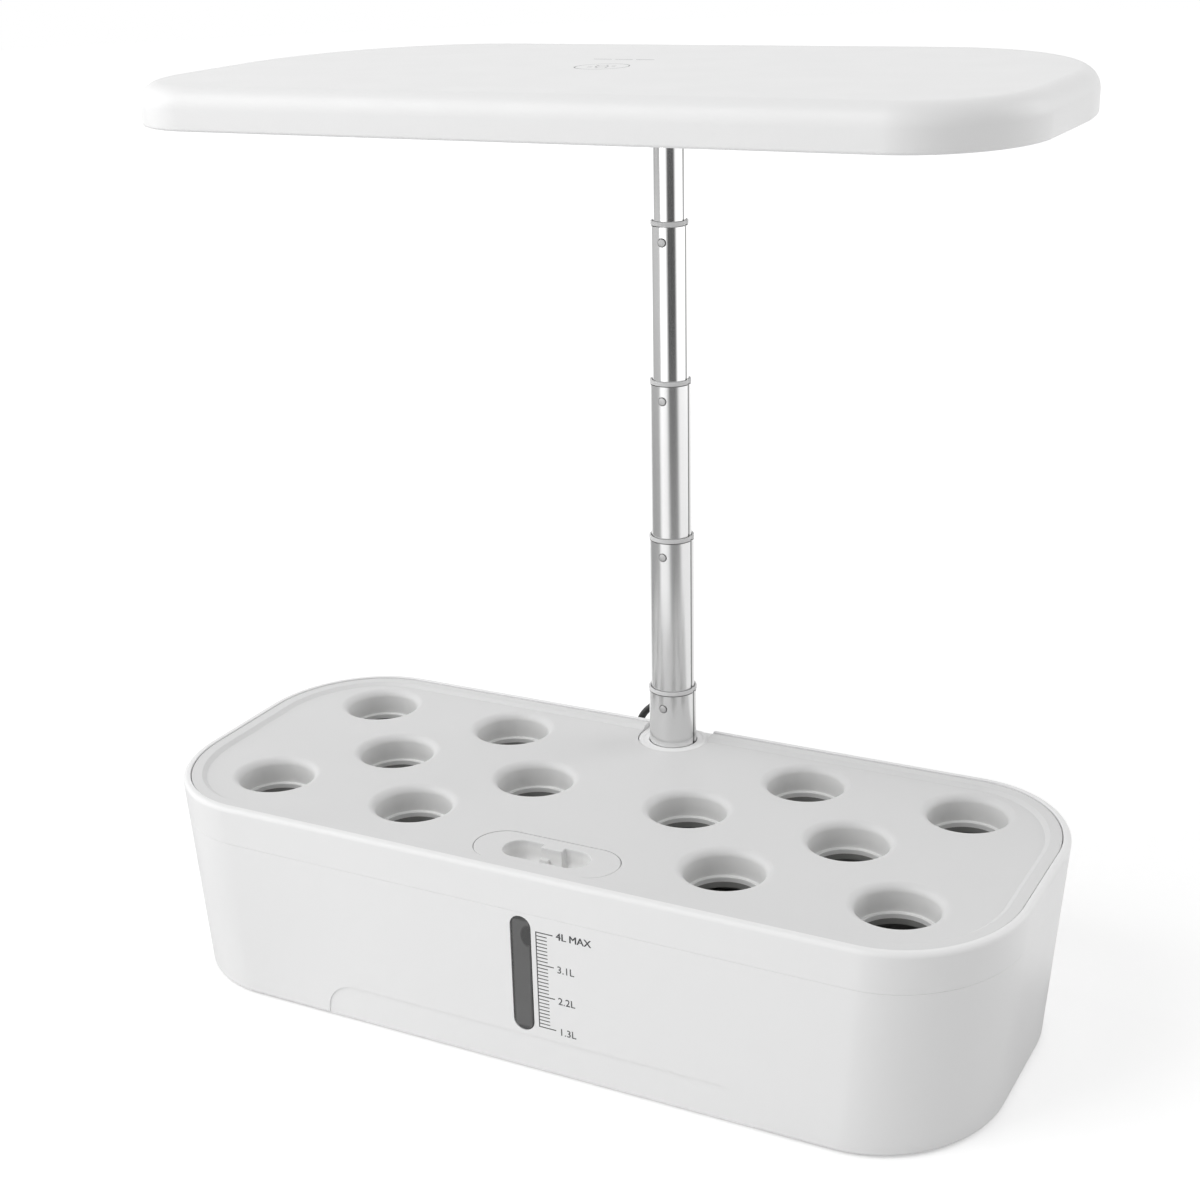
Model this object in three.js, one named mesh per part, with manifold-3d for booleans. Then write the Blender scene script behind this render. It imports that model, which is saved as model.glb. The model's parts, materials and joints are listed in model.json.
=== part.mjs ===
// Countertop hydroponic garden: water tank, lift-off grow deck, telescopic pole and grow lamp.
// Millimetres, +Z up, +X along the tank, +Y to the back. The tank's feet stand on z = 0.
import * as THREE from 'three';
import { mergeVertices } from 'three/addons/utils/BufferGeometryUtils.js';
import Module from 'manifold-3d';

const wasm = await Module();
wasm.setup();
const { Manifold, Mesh: SolidMesh } = wasm;

// Driving sizes

const tank = {
  length: 398,
  depth: 169,
  height: 93.4,
  cornerLong: 52.5,
  cornerDeep: 59.5,
  endDraft: 6.5,
  sideDraft: 0.8,
  wall: 2.6,
  floor: 3,
  bottomEdge: 1.2,
  innerEdge: 4,
  tongueHeight: 3,
  tongueWall: 1.1,
};
const foot = { radius: 6, height: 1.9, recess: 0.9, fromEnd: 52, fromSide: 30 };
const rim = { height: 18.1, lip: 3.5, edge: 2.4, ledgeWidth: 5.2, ledgeThickness: 2, seamGap: 0.35 };
const deck = {
  plate: 2.6,
  belowRim: 0.5,
  border: 5,
  slopeWidth: 2.2,
  slopeDrop: 1.6,
};
const pod = {
  throat: 17.15,
  lipRadius: 3.5,
  boreDepth: 8.8,
  ledge: 1.4,
  lowerDepth: 5,
  wall: 1.6,
  firstOut: 38,
  pitch: 37.2,
  frontRow: 43.5,
  rearRow: 34.3,
};
const cap = {
  length: 67,
  width: 26.4,
  plate: 2.4,
  centreX: 2.2,
  fromFront: 24.4,
  seatWidth: 2.4,
  lipDepth: 5,
  lipWall: 1.6,
  recessLength: 40,
  recessWidth: 15.6,
  recessDepth: 9.5,
  bowlWall: 1.5,
  gripWidth: 10,
  gripReach: 3.4,
  lugWidth: 4.2,
  lugReach: 1.8,
  lugDrop: 5,
};
const gauge = {
  width: 9.4,
  bottom: 18.9,
  belowPartLine: 2,
  centreX: 1.9,
  flange: 3,
  flangeThickness: 1.2,
  proud: 0.2,
};
const arch = { halfWidth: 103, height: 16.6, radius: 14, depth: 0.5, centreX: 3.8 };

const pole = {
  fromRear: 12.7,
  baseRadius: 11,
  radiusStep: 1,
  wall: 0.5,
  firstButton: 18.7,
  buttonRises: [74, 71.8, 68.8],
  topAboveButton: 6.4,
  tailBelowButton: 8,
  keyDepth: 0.75,
  keyHalfWidth: 1.7,
  collarHeight: 2.2,
  collarProud: 0.35,
};
const snap = {
  radius: 1.7,
  hole: 2,
  proud: 0.5,
  dome: 0.3,
  leafWidth: 4.4,
  leafThickness: 0.5,
  leafBend: 2.2,
  leafAbove: 4.4,
  leafBelow: 6.2,
};
const socket = { wall: 5.1, belowDeck: 0.5, ringInner: 13.9, ringHeight: 0.9, base: 3 };
const lamp = {
  underside: 292,
  length: 373.4,
  ahead: 145.6,
  behind: 58.9,
  frontCornerLong: 44,
  frontCornerDeep: 52,
  rearCornerLong: 86,
  rearCornerDeep: 108,
  thickness: 16.7,
  topEdge: 8.4,
  bottomEdge: 1.2,
  wall: 2,
  panelInset: 0.8,
  panelThickness: 2,
};
const ledBoard = {
  fromEnd: 52.7,
  width: 96,
  thickness: 1.6,
  ahead: 80,
  seat: 4,
  chipRows: 3,
  chipColumns: 10,
  chip: 3.4,
  chipHeight: 0.9,
  chipFromEnd: 21.5,
  chipRowPitch: 25,
};
const lampSocket = { wall: 2.6, depth: 9, shoulder: 1.6, shoulderBore: 6.4, flange: 6, flangeThickness: 2 };
const driver = {
  length: 66, width: 22, thickness: 1.6, offsetX: 60, partHeight: 5, partLength: 14, partGap: 5,
};
const touchBoard = { length: 44, width: 40, thickness: 1.6, offsetX: -9, ahead: 34 };
const lampScrew = {
  boss: 3.6,
  head: 2.6,
  headHeight: 1.2,
  shank: 1.3,
  length: 7,
  slotWidth: 0.7,
  slotDepth: 0.5,
  frontFromEnd: 36.7,
  frontFromEdge: 27.6,
  rearFromEnd: 74.7,
  rearFromEdge: 36.9,
};
const pump = {
  width: 34,
  depth: 30,
  height: 32,
  corner: 4,
  x: -64,
  y: 46,
  cupRadius: 5.4,
  cupNeck: 3,
  cupHeight: 3.6,
  cupLip: 0.6,
  cupHollow: 1,
  cupInset: 7,
  chamber: 10.4,
  chamberDepth: 10,
  nozzle: 4.2,
  nozzleBore: 2.6,
  nozzleHeight: 9,
  coverThickness: 2,
  slotCount: 7,
  slotWidth: 1.6,
  slotPitch: 3.4,
  slotHeight: 20,
};
const impeller = {
  disc: 9.2,
  discThickness: 1.4,
  hub: 2.4,
  shaft: 1.2,
  shaftDepth: 8,
  vaneCount: 6,
  vaneThickness: 1,
  vaneDepth: 6,
};
const lead = {
  radius: 0.9,
  aside: 5.1,
  joinAbove: 3.4,
  pumpRadius: 1.5,
  pumpStart: 22,
  entryBelowRim: 24,
  entryBehind: 2.2,
};
const grommet = { aboveDeck: 6, neck: 2.6, flange: 3.5, flangeThickness: 1, taper: 2.3, taperLength: 2.5 };
const cord = {
  radius: 1.75,
  sides: 8,
  step: 9,
  loopSides: 6,
  loopSteps: 24,
  layerTurns: 4.75,
  turnPitch: 4.1,
  layerPitch: 4.1,
  middleRadius: 21,
  coilX: -62,
  coilBehind: 38,
  tieThickness: 0.8,
  tieWidth: 5,
  tieSlack: 0.5,
};
const adapter = {
  length: 58,
  width: 38,
  height: 27,
  corner: 5,
  edge: 1.5,
  x: 70,
  behind: 58.5,
  prongLength: 17,
  prongWidth: 6.2,
  prongThickness: 1.5,
  prongSpacing: 12.7,
  prongFromEnd: 16,
  reliefLength: 12,
  reliefRadius: 3.4,
  reliefTip: 2.3,
};

// Clearances, and one overrun for every cut
const fit = { seat: 0.3, slide: 0.3, cut: 2 };

const finish = {
  whitePlastic: { color: 0xe9e9e8, roughness: 0.45, metalness: 0 },
  deckPlastic: { color: 0xdededd, roughness: 0.5, metalness: 0 },
  smokedWindow: { color: 0x4c4f52, roughness: 0.15, metalness: 0 },
  chrome: { color: 0xc9cacc, roughness: 0.16, metalness: 1 },
  springSteel: { color: 0xb4b6b8, roughness: 0.3, metalness: 1 },
  collarPlastic: { color: 0xcfd0d1, roughness: 0.5, metalness: 0 },
  blackPlastic: { color: 0x1b1b1c, roughness: 0.5, metalness: 0 },
  blackRubber: { color: 0x202021, roughness: 0.8, metalness: 0 },
  clearRubber: { color: 0xc8c9c4, roughness: 0.6, metalness: 0 },
  boardWhite: { color: 0xf2f2ee, roughness: 0.4, metalness: 0 },
  boardGreen: { color: 0x2d5b3a, roughness: 0.5, metalness: 0 },
  brightMetal: { color: 0xc2b280, roughness: 0.3, metalness: 1 },
};

// Heights and places that follow from the driving sizes

const quarter = Math.PI / 2;
const bodyBase = foot.height - foot.recess;
const rimTop = bodyBase + tank.height;
const partLine = rimTop - rim.height;
const tongueTop = partLine + tank.tongueHeight;
const borderTop = rimTop - deck.belowRim;
const borderUnder = borderTop - deck.plate;
const fieldTop = borderTop - deck.slopeDrop;
const fieldUnder = fieldTop - deck.plate;
const tankFloorTop = bodyBase + tank.floor;
const rearFace = tank.depth / 2;
const frontFace = -tank.depth / 2;
const poleY = rearFace - pole.fromRear;
const frontRowY = frontFace + pod.frontRow;
const rearRowY = rearFace - pod.rearRow;
const gaugeBottom = bodyBase + gauge.bottom;
const gaugeTop = partLine - gauge.belowPartLine;
const podThroatZ = fieldTop - pod.lipRadius;
const podLedgeZ = podThroatZ - pod.boreDepth;
const podBottomZ = podLedgeZ - pod.lowerDepth;
const capY = frontFace + cap.fromFront;
const capUnder = fieldTop - cap.plate;
const socketTop = fieldTop - socket.belowDeck;
const socketBore = pole.baseRadius + fit.slide;
const socketHalf = socketBore + socket.wall;
const wellHalf = socketHalf + fit.seat;
const grommetZ = fieldTop + grommet.aboveDeck;
const grommetEnd = pole.baseRadius + fit.seat + grommet.flangeThickness + grommet.taperLength;
const firstButtonZ = fieldTop + pole.firstButton;
const riseToLamp = lamp.underside - pole.firstButton - pole.buttonRises.reduce((sum, rise) => sum + rise, 0);
const panelTop = lamp.panelInset + lamp.panelThickness;
const coilY = rearFace + cord.coilBehind;
const coilSpread = (cord.layerTurns * cord.turnPitch) / 2;
const coilOuter = cord.middleRadius + coilSpread;
const coilInner = cord.middleRadius - coilSpread;
const coilTopZ = cord.radius + cord.layerPitch;
const cordDiameter = 2 * cord.radius;
const leadDiameter = 2 * lead.radius;
const adapterY = rearFace + adapter.behind;
const reliefX = adapter.x - adapter.length / 2 - fit.seat;
const pumpLeadEntry = { y: poleY + lead.entryBehind, z: rimTop - lead.entryBelowRim };
const ledLength = lamp.length - 2 * ledBoard.fromEnd;
const chipPitch = (ledLength - 2 * ledBoard.chipFromEnd) / (ledBoard.chipColumns - 1);

// Solids and meshes

function toSolid(geometry) {
  const bare = geometry.clone();
  bare.deleteAttribute('normal');
  bare.deleteAttribute('uv');
  const merged = mergeVertices(bare, 1e-4);
  const corners = merged.index.array;
  const triangles = [];
  for (let i = 0; i < corners.length; i += 3) {
    const [a, b, c] = corners.slice(i, i + 3);
    if (a !== b && b !== c && c !== a) triangles.push(a, b, c);
  }
  return new Manifold(new SolidMesh({
    numProp: 3,
    vertProperties: new Float32Array(merged.getAttribute('position').array),
    triVerts: new Uint32Array(triangles),
  }));
}

function toGeometry(solid) {
  const mesh = solid.getMesh();
  const geometry = new THREE.BufferGeometry();
  geometry.setAttribute('position', new THREE.BufferAttribute(mesh.vertProperties, mesh.numProp));
  geometry.setIndex(new THREE.BufferAttribute(mesh.triVerts, 1));
  geometry.computeVertexNormals();
  return geometry;
}

function piece(name, shape, look, place = [0, 0, 0]) {
  const geometry = shape instanceof THREE.BufferGeometry ? shape : toGeometry(shape);
  const mesh = new THREE.Mesh(geometry, new THREE.MeshStandardMaterial(look));
  mesh.name = name;
  mesh.position.set(...place);
  return mesh;
}

function group(place, ...children) {
  const holder = new THREE.Group();
  holder.position.set(...place);
  holder.add(...children);
  return holder;
}

const join = (...solids) => Manifold.union(solids);
const cut = (solid, ...tools) => solid.subtract(Manifold.union(tools));

function block([x, y, z], [centreX, centreY, centreZ]) {
  const geometry = new THREE.BoxGeometry(x, y, z);
  geometry.translate(centreX, centreY, centreZ);
  return toSolid(geometry);
}

function drum(radius, bottom, top, sides, x = 0, y = 0) {
  const geometry = new THREE.CylinderGeometry(radius, radius, top - bottom, sides);
  geometry.rotateX(quarter);
  geometry.translate(x, y, (bottom + top) / 2);
  return toSolid(geometry);
}

// A drum lying along Y, from one depth to another
function crossDrum(radius, near, far, sides, z = 0) {
  const geometry = new THREE.CylinderGeometry(radius, radius, far - near, sides);
  geometry.translate(0, (near + far) / 2, z);
  return toSolid(geometry);
}

// A solid of revolution about Z from [radius, height] points listed upward
function turned(profile, sides) {
  const geometry = new THREE.LatheGeometry(profile.map(([r, z]) => new THREE.Vector2(r, z)), sides);
  geometry.rotateX(quarter);
  return toSolid(geometry);
}

function prism(outline, bottom, top, ...holes) {
  const shape = new THREE.Shape(outline);
  shape.holes = holes.map((hole) => new THREE.Path(hole));
  const geometry = new THREE.ExtrudeGeometry(shape, { depth: top - bottom, bevelEnabled: false });
  geometry.translate(0, 0, bottom);
  return toSolid(geometry);
}

// Rounded outline whose corners are quarter ellipses, [along x, along y]
function roundedPlan({ halfLength, front, back, frontCorner, rearCorner }, steps = 6) {
  const rear = [1, -1].map((side) => [side, back, 1, rearCorner]);
  const fore = [-1, 1].map((side) => [side, front, -1, frontCorner]);
  return [...rear, ...fore].flatMap(([sideX, y, sideY, [long, deep]], turn) => {
    const centreX = sideX * (halfLength - long);
    const centreY = y - sideY * deep;
    return Array.from({ length: steps + 1 }, (_, i) => {
      const angle = (turn + i / steps) * quarter;
      return new THREE.Vector2(centreX + long * Math.cos(angle), centreY + deep * Math.sin(angle));
    });
  });
}

function stadium(length, width, x = 0, y = 0, steps = 6) {
  const radius = width / 2;
  const reach = length / 2 - radius;
  return [reach, -reach].flatMap((end, side) => Array.from({ length: steps + 1 }, (_, i) => {
    const angle = (side - 0.5 + i / steps) * Math.PI;
    return new THREE.Vector2(x + end + radius * Math.cos(angle), y + radius * Math.sin(angle));
  }));
}

// Skin through equal convex rings of points: capped at both ends, or closed on itself
function skin(rings, closed = false) {
  const count = rings[0].length;
  const points = rings.flatMap((ring) => ring.flatMap((p) => [p.x, p.y, p.z]));
  const index = [];
  const bands = closed ? rings.length : rings.length - 1;
  for (let k = 0; k < bands; k += 1) {
    const low = k * count;
    const high = ((k + 1) % rings.length) * count;
    for (let i = 0; i < count; i += 1) {
      const j = (i + 1) % count;
      index.push(low + i, low + j, high + j, low + i, high + j, high + i);
    }
  }
  if (!closed) {
    const last = (rings.length - 1) * count;
    for (let i = 1; i < count - 1; i += 1) index.push(0, i + 1, i, last, last + i, last + i + 1);
  }
  const geometry = new THREE.BufferGeometry();
  geometry.setAttribute('position', new THREE.Float32BufferAttribute(points, 3));
  geometry.setIndex(index);
  geometry.computeVertexNormals();
  return geometry;
}

// Skin through the outlines that a plan function gives for [inset, height] points
function loft(plan, profile, closed = false) {
  const rings = profile.map(([inset, z]) => plan(inset, z).map((p) => new THREE.Vector3(p.x, p.y, z)));
  return toSolid(skin(rings, closed));
}

// Rounded edges as [inset, height] points, listed upward
function topEdge(radius, top, steps) {
  return Array.from({ length: steps + 1 }, (_, i) => {
    const angle = (i / steps) * quarter;
    return [radius * (1 - Math.cos(angle)), top - radius * (1 - Math.sin(angle))];
  });
}

function bottomEdge(radius, bottom, steps) {
  return topEdge(radius, 0, steps).reverse().map(([inset, z]) => [inset, bottom - z]);
}

// Tank, rim and deck share one drafted plan
function tankPlan(inset, z) {
  const drop = (rimTop - z) / tank.height;
  const side = inset + tank.sideDraft * drop;
  const corner = [tank.cornerLong - inset, tank.cornerDeep - inset];
  return roundedPlan({
    halfLength: tank.length / 2 - inset - tank.endDraft * drop,
    front: frontFace + side,
    back: rearFace - side,
    frontCorner: corner,
    rearCorner: corner,
  });
}

// U outline round the pole's axis, open to the rear
function poleNotch(half, steps = 10) {
  const arc = Array.from({ length: steps + 1 }, (_, i) => {
    const angle = Math.PI * (1 + i / steps);
    return new THREE.Vector2(half * Math.cos(angle), poleY + half * Math.sin(angle));
  });
  const back = rearFace + fit.cut;
  return [...arc, new THREE.Vector2(half, back), new THREE.Vector2(-half, back)];
}

// Tank

function footPlaces() {
  const x = tank.length / 2 - foot.fromEnd;
  const y = rearFace - foot.fromSide;
  return [[-x, -y], [x, -y], [-x, y], [x, y]];
}

// Shallow arch sunk in the lower edge of the front wall
function archCut() {
  const { halfWidth, height, radius, centreX } = arch;
  const shape = new THREE.Shape();
  shape.moveTo(centreX - halfWidth, -fit.cut);
  shape.lineTo(centreX + halfWidth, -fit.cut);
  shape.absarc(centreX + halfWidth - radius, height - radius, radius, 0, quarter);
  shape.absarc(centreX - halfWidth + radius, height - radius, radius, quarter, Math.PI);
  const depth = fit.cut + tank.sideDraft + arch.depth;
  const geometry = new THREE.ExtrudeGeometry(shape, { depth, bevelEnabled: false, curveSegments: 6 });
  geometry.rotateX(quarter);
  geometry.translate(0, frontFace + tank.sideDraft + arch.depth, bodyBase);
  return toSolid(geometry);
}

// Upright stadium through the front wall, from one depth to another
function gaugePrism(grow, near, far) {
  const shape = new THREE.Shape(stadium(gaugeTop - gaugeBottom + 2 * grow, gauge.width + 2 * grow));
  const geometry = new THREE.ExtrudeGeometry(shape, { depth: far - near, bevelEnabled: false });
  geometry.rotateZ(quarter);
  geometry.rotateX(quarter);
  geometry.translate(gauge.centreX, far, (gaugeBottom + gaugeTop) / 2);
  return toSolid(geometry);
}

function tankBody() {
  const tongueInset = tank.wall - tank.tongueWall;
  const outer = loft(tankPlan, [
    ...bottomEdge(tank.bottomEdge, bodyBase, 2),
    [0, partLine],
    [tongueInset, partLine],
    [tongueInset, tongueTop],
  ]);
  const cavity = loft(tankPlan, [
    ...bottomEdge(tank.innerEdge, tankFloorTop, 2).map(([inset, z]) => [tank.wall + inset, z]),
    [tank.wall, tongueTop + fit.cut],
  ]);
  const poleWell = prism(poleNotch(wellHalf), bodyBase + socket.base, tongueTop + fit.cut);
  const wellWall = prism(poleNotch(wellHalf + tank.wall), bodyBase, partLine);
  const pockets = footPlaces().map(([x, y]) => (
    drum(foot.radius + fit.seat, -fit.cut, foot.height + fit.seat, 20, x, y)
  ));
  const slot = gaugePrism(fit.seat, frontFace - fit.cut, frontFace + tank.sideDraft + tank.wall + fit.cut);
  const leadHole = drum(lead.pumpRadius + fit.seat, -wellHalf - tank.wall - fit.cut, 0, 12)
    .rotate([0, 90, 0])
    .translate(0, pumpLeadEntry.y, pumpLeadEntry.z);
  return cut(outer, cut(cavity, wellWall), poleWell, archCut(), slot, leadHole, ...pockets);
}

function waterWindow() {
  const inner = frontFace + tank.wall + tank.sideDraft + fit.seat;
  const lens = gaugePrism(0, frontFace + tank.sideDraft - gauge.proud, inner + gauge.flangeThickness);
  return join(lens, gaugePrism(gauge.flange, inner, inner + gauge.flangeThickness));
}

function upperRim() {
  const ledgeTop = borderUnder - fit.seat;
  const ledgeInset = rim.lip + rim.ledgeWidth;
  const rebate = tank.wall - tank.tongueWall - fit.seat;
  const ring = loft(tankPlan, [
    [0, partLine + rim.seamGap],
    ...topEdge(rim.edge, rimTop, 3),
    [rim.lip, rimTop],
    [rim.lip, ledgeTop],
    [ledgeInset, ledgeTop],
    [ledgeInset, ledgeTop - rim.ledgeThickness],
    [rim.lip, ledgeTop - rim.ledgeThickness],
    [rim.lip, tongueTop + fit.seat],
    [rebate, tongueTop + fit.seat],
    [rebate, partLine + rim.seamGap],
  ], true);
  return cut(ring, prism(poleNotch(wellHalf), bodyBase, rimTop + fit.cut));
}

// Dry column in the tank's rear that holds the pole
function poleSocket() {
  const bottom = bodyBase + socket.base + fit.seat;
  const column = prism(poleNotch(socketHalf), bottom, socketTop);
  const collar = prism(poleNotch(socketHalf), socketTop - socket.ringHeight, socketTop + socket.ringHeight);
  const inside = drum(socket.ringInner, socketTop - fit.cut, rimTop, 24, 0, poleY);
  const outside = drum(socketHalf, bottom, rimTop, 24, 0, poleY);
  const rearWall = loft(tankPlan, [[0, bodyBase], [0, rimTop]]);
  const bore = drum(socketBore, bottom + socket.base, rimTop, 24, 0, poleY);
  return cut(join(column, cut(collar, inside).intersect(outside)).intersect(rearWall), bore);
}

// Grow deck

function podPlaces() {
  const middleRowY = (frontRowY + rearRowY) / 2;
  const wells = [
    [0, middleRowY], [1, rearRowY], [1, frontRowY],
    [2, middleRowY], [3, rearRowY], [3, frontRowY],
  ];
  return [-1, 1].flatMap((side) => wells.map(([step, y]) => [side * (pod.firstOut + step * pod.pitch), y]));
}

// The well of one pod: rounded lip, bore, seat ledge and narrower throat below it
function podWell() {
  const lip = topEdge(pod.lipRadius, fieldTop, 2).map(([inset, z]) => [pod.throat + inset, z]);
  return turned([
    [0, podBottomZ - fit.cut],
    [pod.throat - pod.ledge, podBottomZ - fit.cut],
    [pod.throat - pod.ledge, podLedgeZ],
    [pod.throat, podLedgeZ],
    ...lip,
    [pod.throat + pod.lipRadius, fieldTop + fit.cut],
    [0, fieldTop + fit.cut],
  ], 18);
}

function podSleeve() {
  const lower = pod.throat - pod.ledge + pod.wall;
  const upper = pod.throat + pod.wall;
  return turned([
    [0, podBottomZ],
    [lower, podBottomZ],
    [lower, podLedgeZ - pod.wall],
    [upper, podLedgeZ - pod.wall],
    [upper, fieldTop - deck.plate / 2],
    [0, fieldTop - deck.plate / 2],
  ], 18);
}

function growDeck() {
  const edge = rim.lip + rim.seamGap;
  const underInset = rim.lip + rim.ledgeWidth + fit.seat;
  const plate = loft(tankPlan, [
    [underInset, fieldUnder],
    [underInset, borderUnder],
    [edge, borderUnder],
    [edge, borderTop],
    [edge + deck.border, borderTop],
    [edge + deck.border + deck.slopeWidth, fieldTop],
  ]);
  const places = podPlaces();
  const sleeve = podSleeve();
  const well = podWell();
  const mouthPlan = (grow) => {
    const around = 2 * (fit.seat + grow);
    return stadium(cap.length + around, cap.width + around, cap.centreX, capY);
  };
  const seatZ = capUnder - fit.seat;
  const frame = prism(mouthPlan(pod.wall), seatZ - deck.plate, fieldTop - deck.plate / 2);
  return cut(
    join(plate, frame, ...places.map(([x, y]) => sleeve.translate(x, y, 0))),
    prism(poleNotch(socketHalf + fit.slide), podBottomZ, rimTop + fit.cut),
    prism(mouthPlan(0), seatZ, rimTop),
    prism(mouthPlan(-cap.seatWidth), podBottomZ, rimTop),
    ...places.map(([x, y]) => well.translate(x, y, 0)),
  );
}

// Lift-off filler cap: plate, locating lip, and a finger bowl parted by a grip bar
function fillerCap() {
  const { seatWidth, lipWall, bowlWall, gripWidth, gripReach, lugWidth, lugReach } = cap;
  const lipLength = cap.length - 2 * (seatWidth + fit.seat);
  const lipWidth = cap.width - 2 * (seatWidth + fit.seat);
  const lipInside = stadium(lipLength - 2 * lipWall, lipWidth - 2 * lipWall);
  const lip = prism(stadium(lipLength, lipWidth), -cap.plate - cap.lipDepth, -cap.plate / 2, lipInside);
  const bowlOutline = stadium(cap.recessLength + 2 * bowlWall, cap.recessWidth + 2 * bowlWall);
  const bowl = prism(bowlOutline, -cap.recessDepth - bowlWall, -cap.plate / 2);
  const scoop = prism(stadium(cap.recessLength, cap.recessWidth), -cap.recessDepth, fit.cut);
  const rear = cap.recessWidth / 2;
  const bite = bowlWall / 2;
  const grip = block(
    [gripWidth, gripReach + bite, cap.recessDepth + bite],
    [0, rear - (gripReach - bite) / 2, -(cap.recessDepth + bite) / 2],
  );
  const lugHeight = cap.recessDepth - cap.lugDrop + bite;
  const lug = block(
    [lugWidth, lugReach + bite, lugHeight],
    [(lugWidth - gripWidth) / 2, rear - gripReach - (lugReach - bite) / 2, -cap.lugDrop - lugHeight / 2],
  );
  const plate = prism(stadium(cap.length, cap.width), -cap.plate, 0);
  return join(cut(join(plate, lip, bowl), scoop), grip, lug);
}

// Pole, drawn round its own axis

// Tube section: a circle with one rounded key groove on its +X side
function tubeOutline(radius, steps = 18) {
  const grooveShares = [-1, -0.5, 0, 0.5, 1];
  const half = pole.keyHalfWidth / radius;
  const groove = grooveShares.map((share) => [
    radius - pole.keyDepth * Math.cos(share * quarter) ** 2,
    share * half,
  ]);
  const round = Array.from({ length: steps - 1 }, (_, i) => (
    [radius, half + ((i + 1) / steps) * 2 * (Math.PI - half)]
  ));
  return [...groove, ...round].map(
    ([r, angle]) => new THREE.Vector2(r * Math.cos(angle), r * Math.sin(angle)),
  );
}

const stageRadius = (stage) => pole.baseRadius - stage * pole.radiusStep;
const frontHole = (z) => crossDrum(snap.hole, -pole.baseRadius - fit.cut, 0, 12, z);

function poleTube(stage, bottom, top, ...holes) {
  const radius = stageRadius(stage);
  return cut(prism(tubeOutline(radius), bottom, top, tubeOutline(radius - pole.wall)), ...holes);
}

// Thin stop ring on a tube's upper end; the next tube slides through it
function poleCollar(stage) {
  const outer = tubeOutline(stageRadius(stage) + pole.collarProud);
  return prism(outer, 0, pole.collarHeight, tubeOutline(stageRadius(stage + 1) + fit.slide));
}

// Half the spread of a leaf whose corners keep clear of the bore
function leafReach(stage) {
  const bore = stageRadius(stage) - pole.wall;
  return Math.sqrt(bore ** 2 - (snap.leafWidth / 2) ** 2) - fit.seat;
}

// Leaf bent to a U inside a tube's tail, its arms against the bore
function snapLeaf(stage) {
  const line = (inward) => {
    const half = leafReach(stage) - inward;
    const bend = snap.leafBend - inward;
    const low = inward - snap.leafBelow;
    const turn = (side) => [0, 1, 2, 3].map((i) => {
      const angle = (i / 3) * quarter;
      return [side * (half - bend * (1 - Math.cos(angle))), low + bend * (1 - Math.sin(angle))];
    });
    return [[half, snap.leafAbove], ...turn(1), ...turn(-1).reverse(), [-half, snap.leafAbove]];
  };
  const outline = [...line(0), ...line(snap.leafThickness).reverse()];
  const shape = new THREE.Shape(outline.map(([y, z]) => new THREE.Vector2(y, z)));
  const geometry = new THREE.ExtrudeGeometry(shape, { depth: snap.leafWidth, bevelEnabled: false });
  geometry.translate(0, 0, -snap.leafWidth / 2);
  geometry.rotateX(quarter);
  geometry.rotateZ(quarter);
  return toSolid(geometry);
}

// Domed button on the leaf, through the walls of two tubes
function snapButton(stage) {
  const inner = leafReach(stage) + fit.seat;
  const tip = stageRadius(stage - 1) + snap.proud;
  return turned([
    [0, inner],
    [snap.radius, inner],
    [snap.radius, tip - snap.dome],
    [snap.radius - snap.dome, tip],
    [0, tip],
  ], 12).rotate([90, 0, 0]);
}

function cordGrommet() {
  const wallInside = pole.baseRadius - pole.wall;
  const flangeFoot = pole.baseRadius + fit.seat;
  const flangeTop = flangeFoot + grommet.flangeThickness;
  return turned([
    [0, wallInside],
    [grommet.neck, wallInside],
    [grommet.neck, flangeFoot],
    [grommet.flange, flangeFoot],
    [grommet.flange, flangeTop],
    [grommet.neck, flangeTop],
    [grommet.taper, grommetEnd],
    [0, grommetEnd],
  ], 12).rotate([-90, 0, 0]);
}

// Round lead or cord along a curve through chosen points
function sweep(points, radius, sides, step) {
  const curve = new THREE.CatmullRomCurve3(points.map((p) => new THREE.Vector3(...p)), false, 'centripetal');
  const section = Array.from({ length: sides }, (_, i) => {
    const angle = (i / sides) * 2 * Math.PI;
    return new THREE.Vector2(radius * Math.cos(angle), radius * Math.sin(angle));
  });
  const steps = Math.ceil(curve.getLength() / step);
  const options = { steps, extrudePath: curve, bevelEnabled: false };
  const geometry = new THREE.ExtrudeGeometry(new THREE.Shape(section), options);
  return { geometry, length: curve.getLength() };
}

const straightLead = (bottom, top) => drum(lead.radius, bottom, top, 8, -lead.aside);

// The lamp lead's first stretch turns up from the cord's entry; its origin is on the entry's axis
function entryLead(top) {
  const inside = stageRadius(1) - pole.wall - fit.seat - lead.radius;
  return sweep([
    [0, inside, 0],
    [-lead.aside / 2, inside / 2, lead.radius],
    [-lead.aside, 0, lead.aside],
    [-lead.aside, 0, (lead.aside + top) / 2],
    [-lead.aside, 0, top],
  ], lead.radius, 8, 2 * leadDiameter).geometry;
}

// One sliding stage, its origin at the button that locks it; the stages above are nested in it
function poleStage(stage, name, rise, upper) {
  const top = rise + pole.topAboveButton;
  return [
    piece(
      `tube_${name}`,
      poleTube(stage, -pole.tailBelowButton, top, frontHole(0), frontHole(rise)),
      finish.chrome,
    ),
    piece(`collar_${name}`, poleCollar(stage), finish.collarPlastic, [0, 0, top + fit.seat]),
    piece(`snap_spring_${name}`, snapLeaf(stage), finish.springSteel),
    piece(`snap_button_${name}`, snapButton(stage), finish.chrome),
    piece(`lead_${name}`, straightLead(lead.joinAbove + fit.seat, rise + lead.joinAbove), finish.blackRubber),
    group([0, 0, rise], ...upper),
  ];
}

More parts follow.
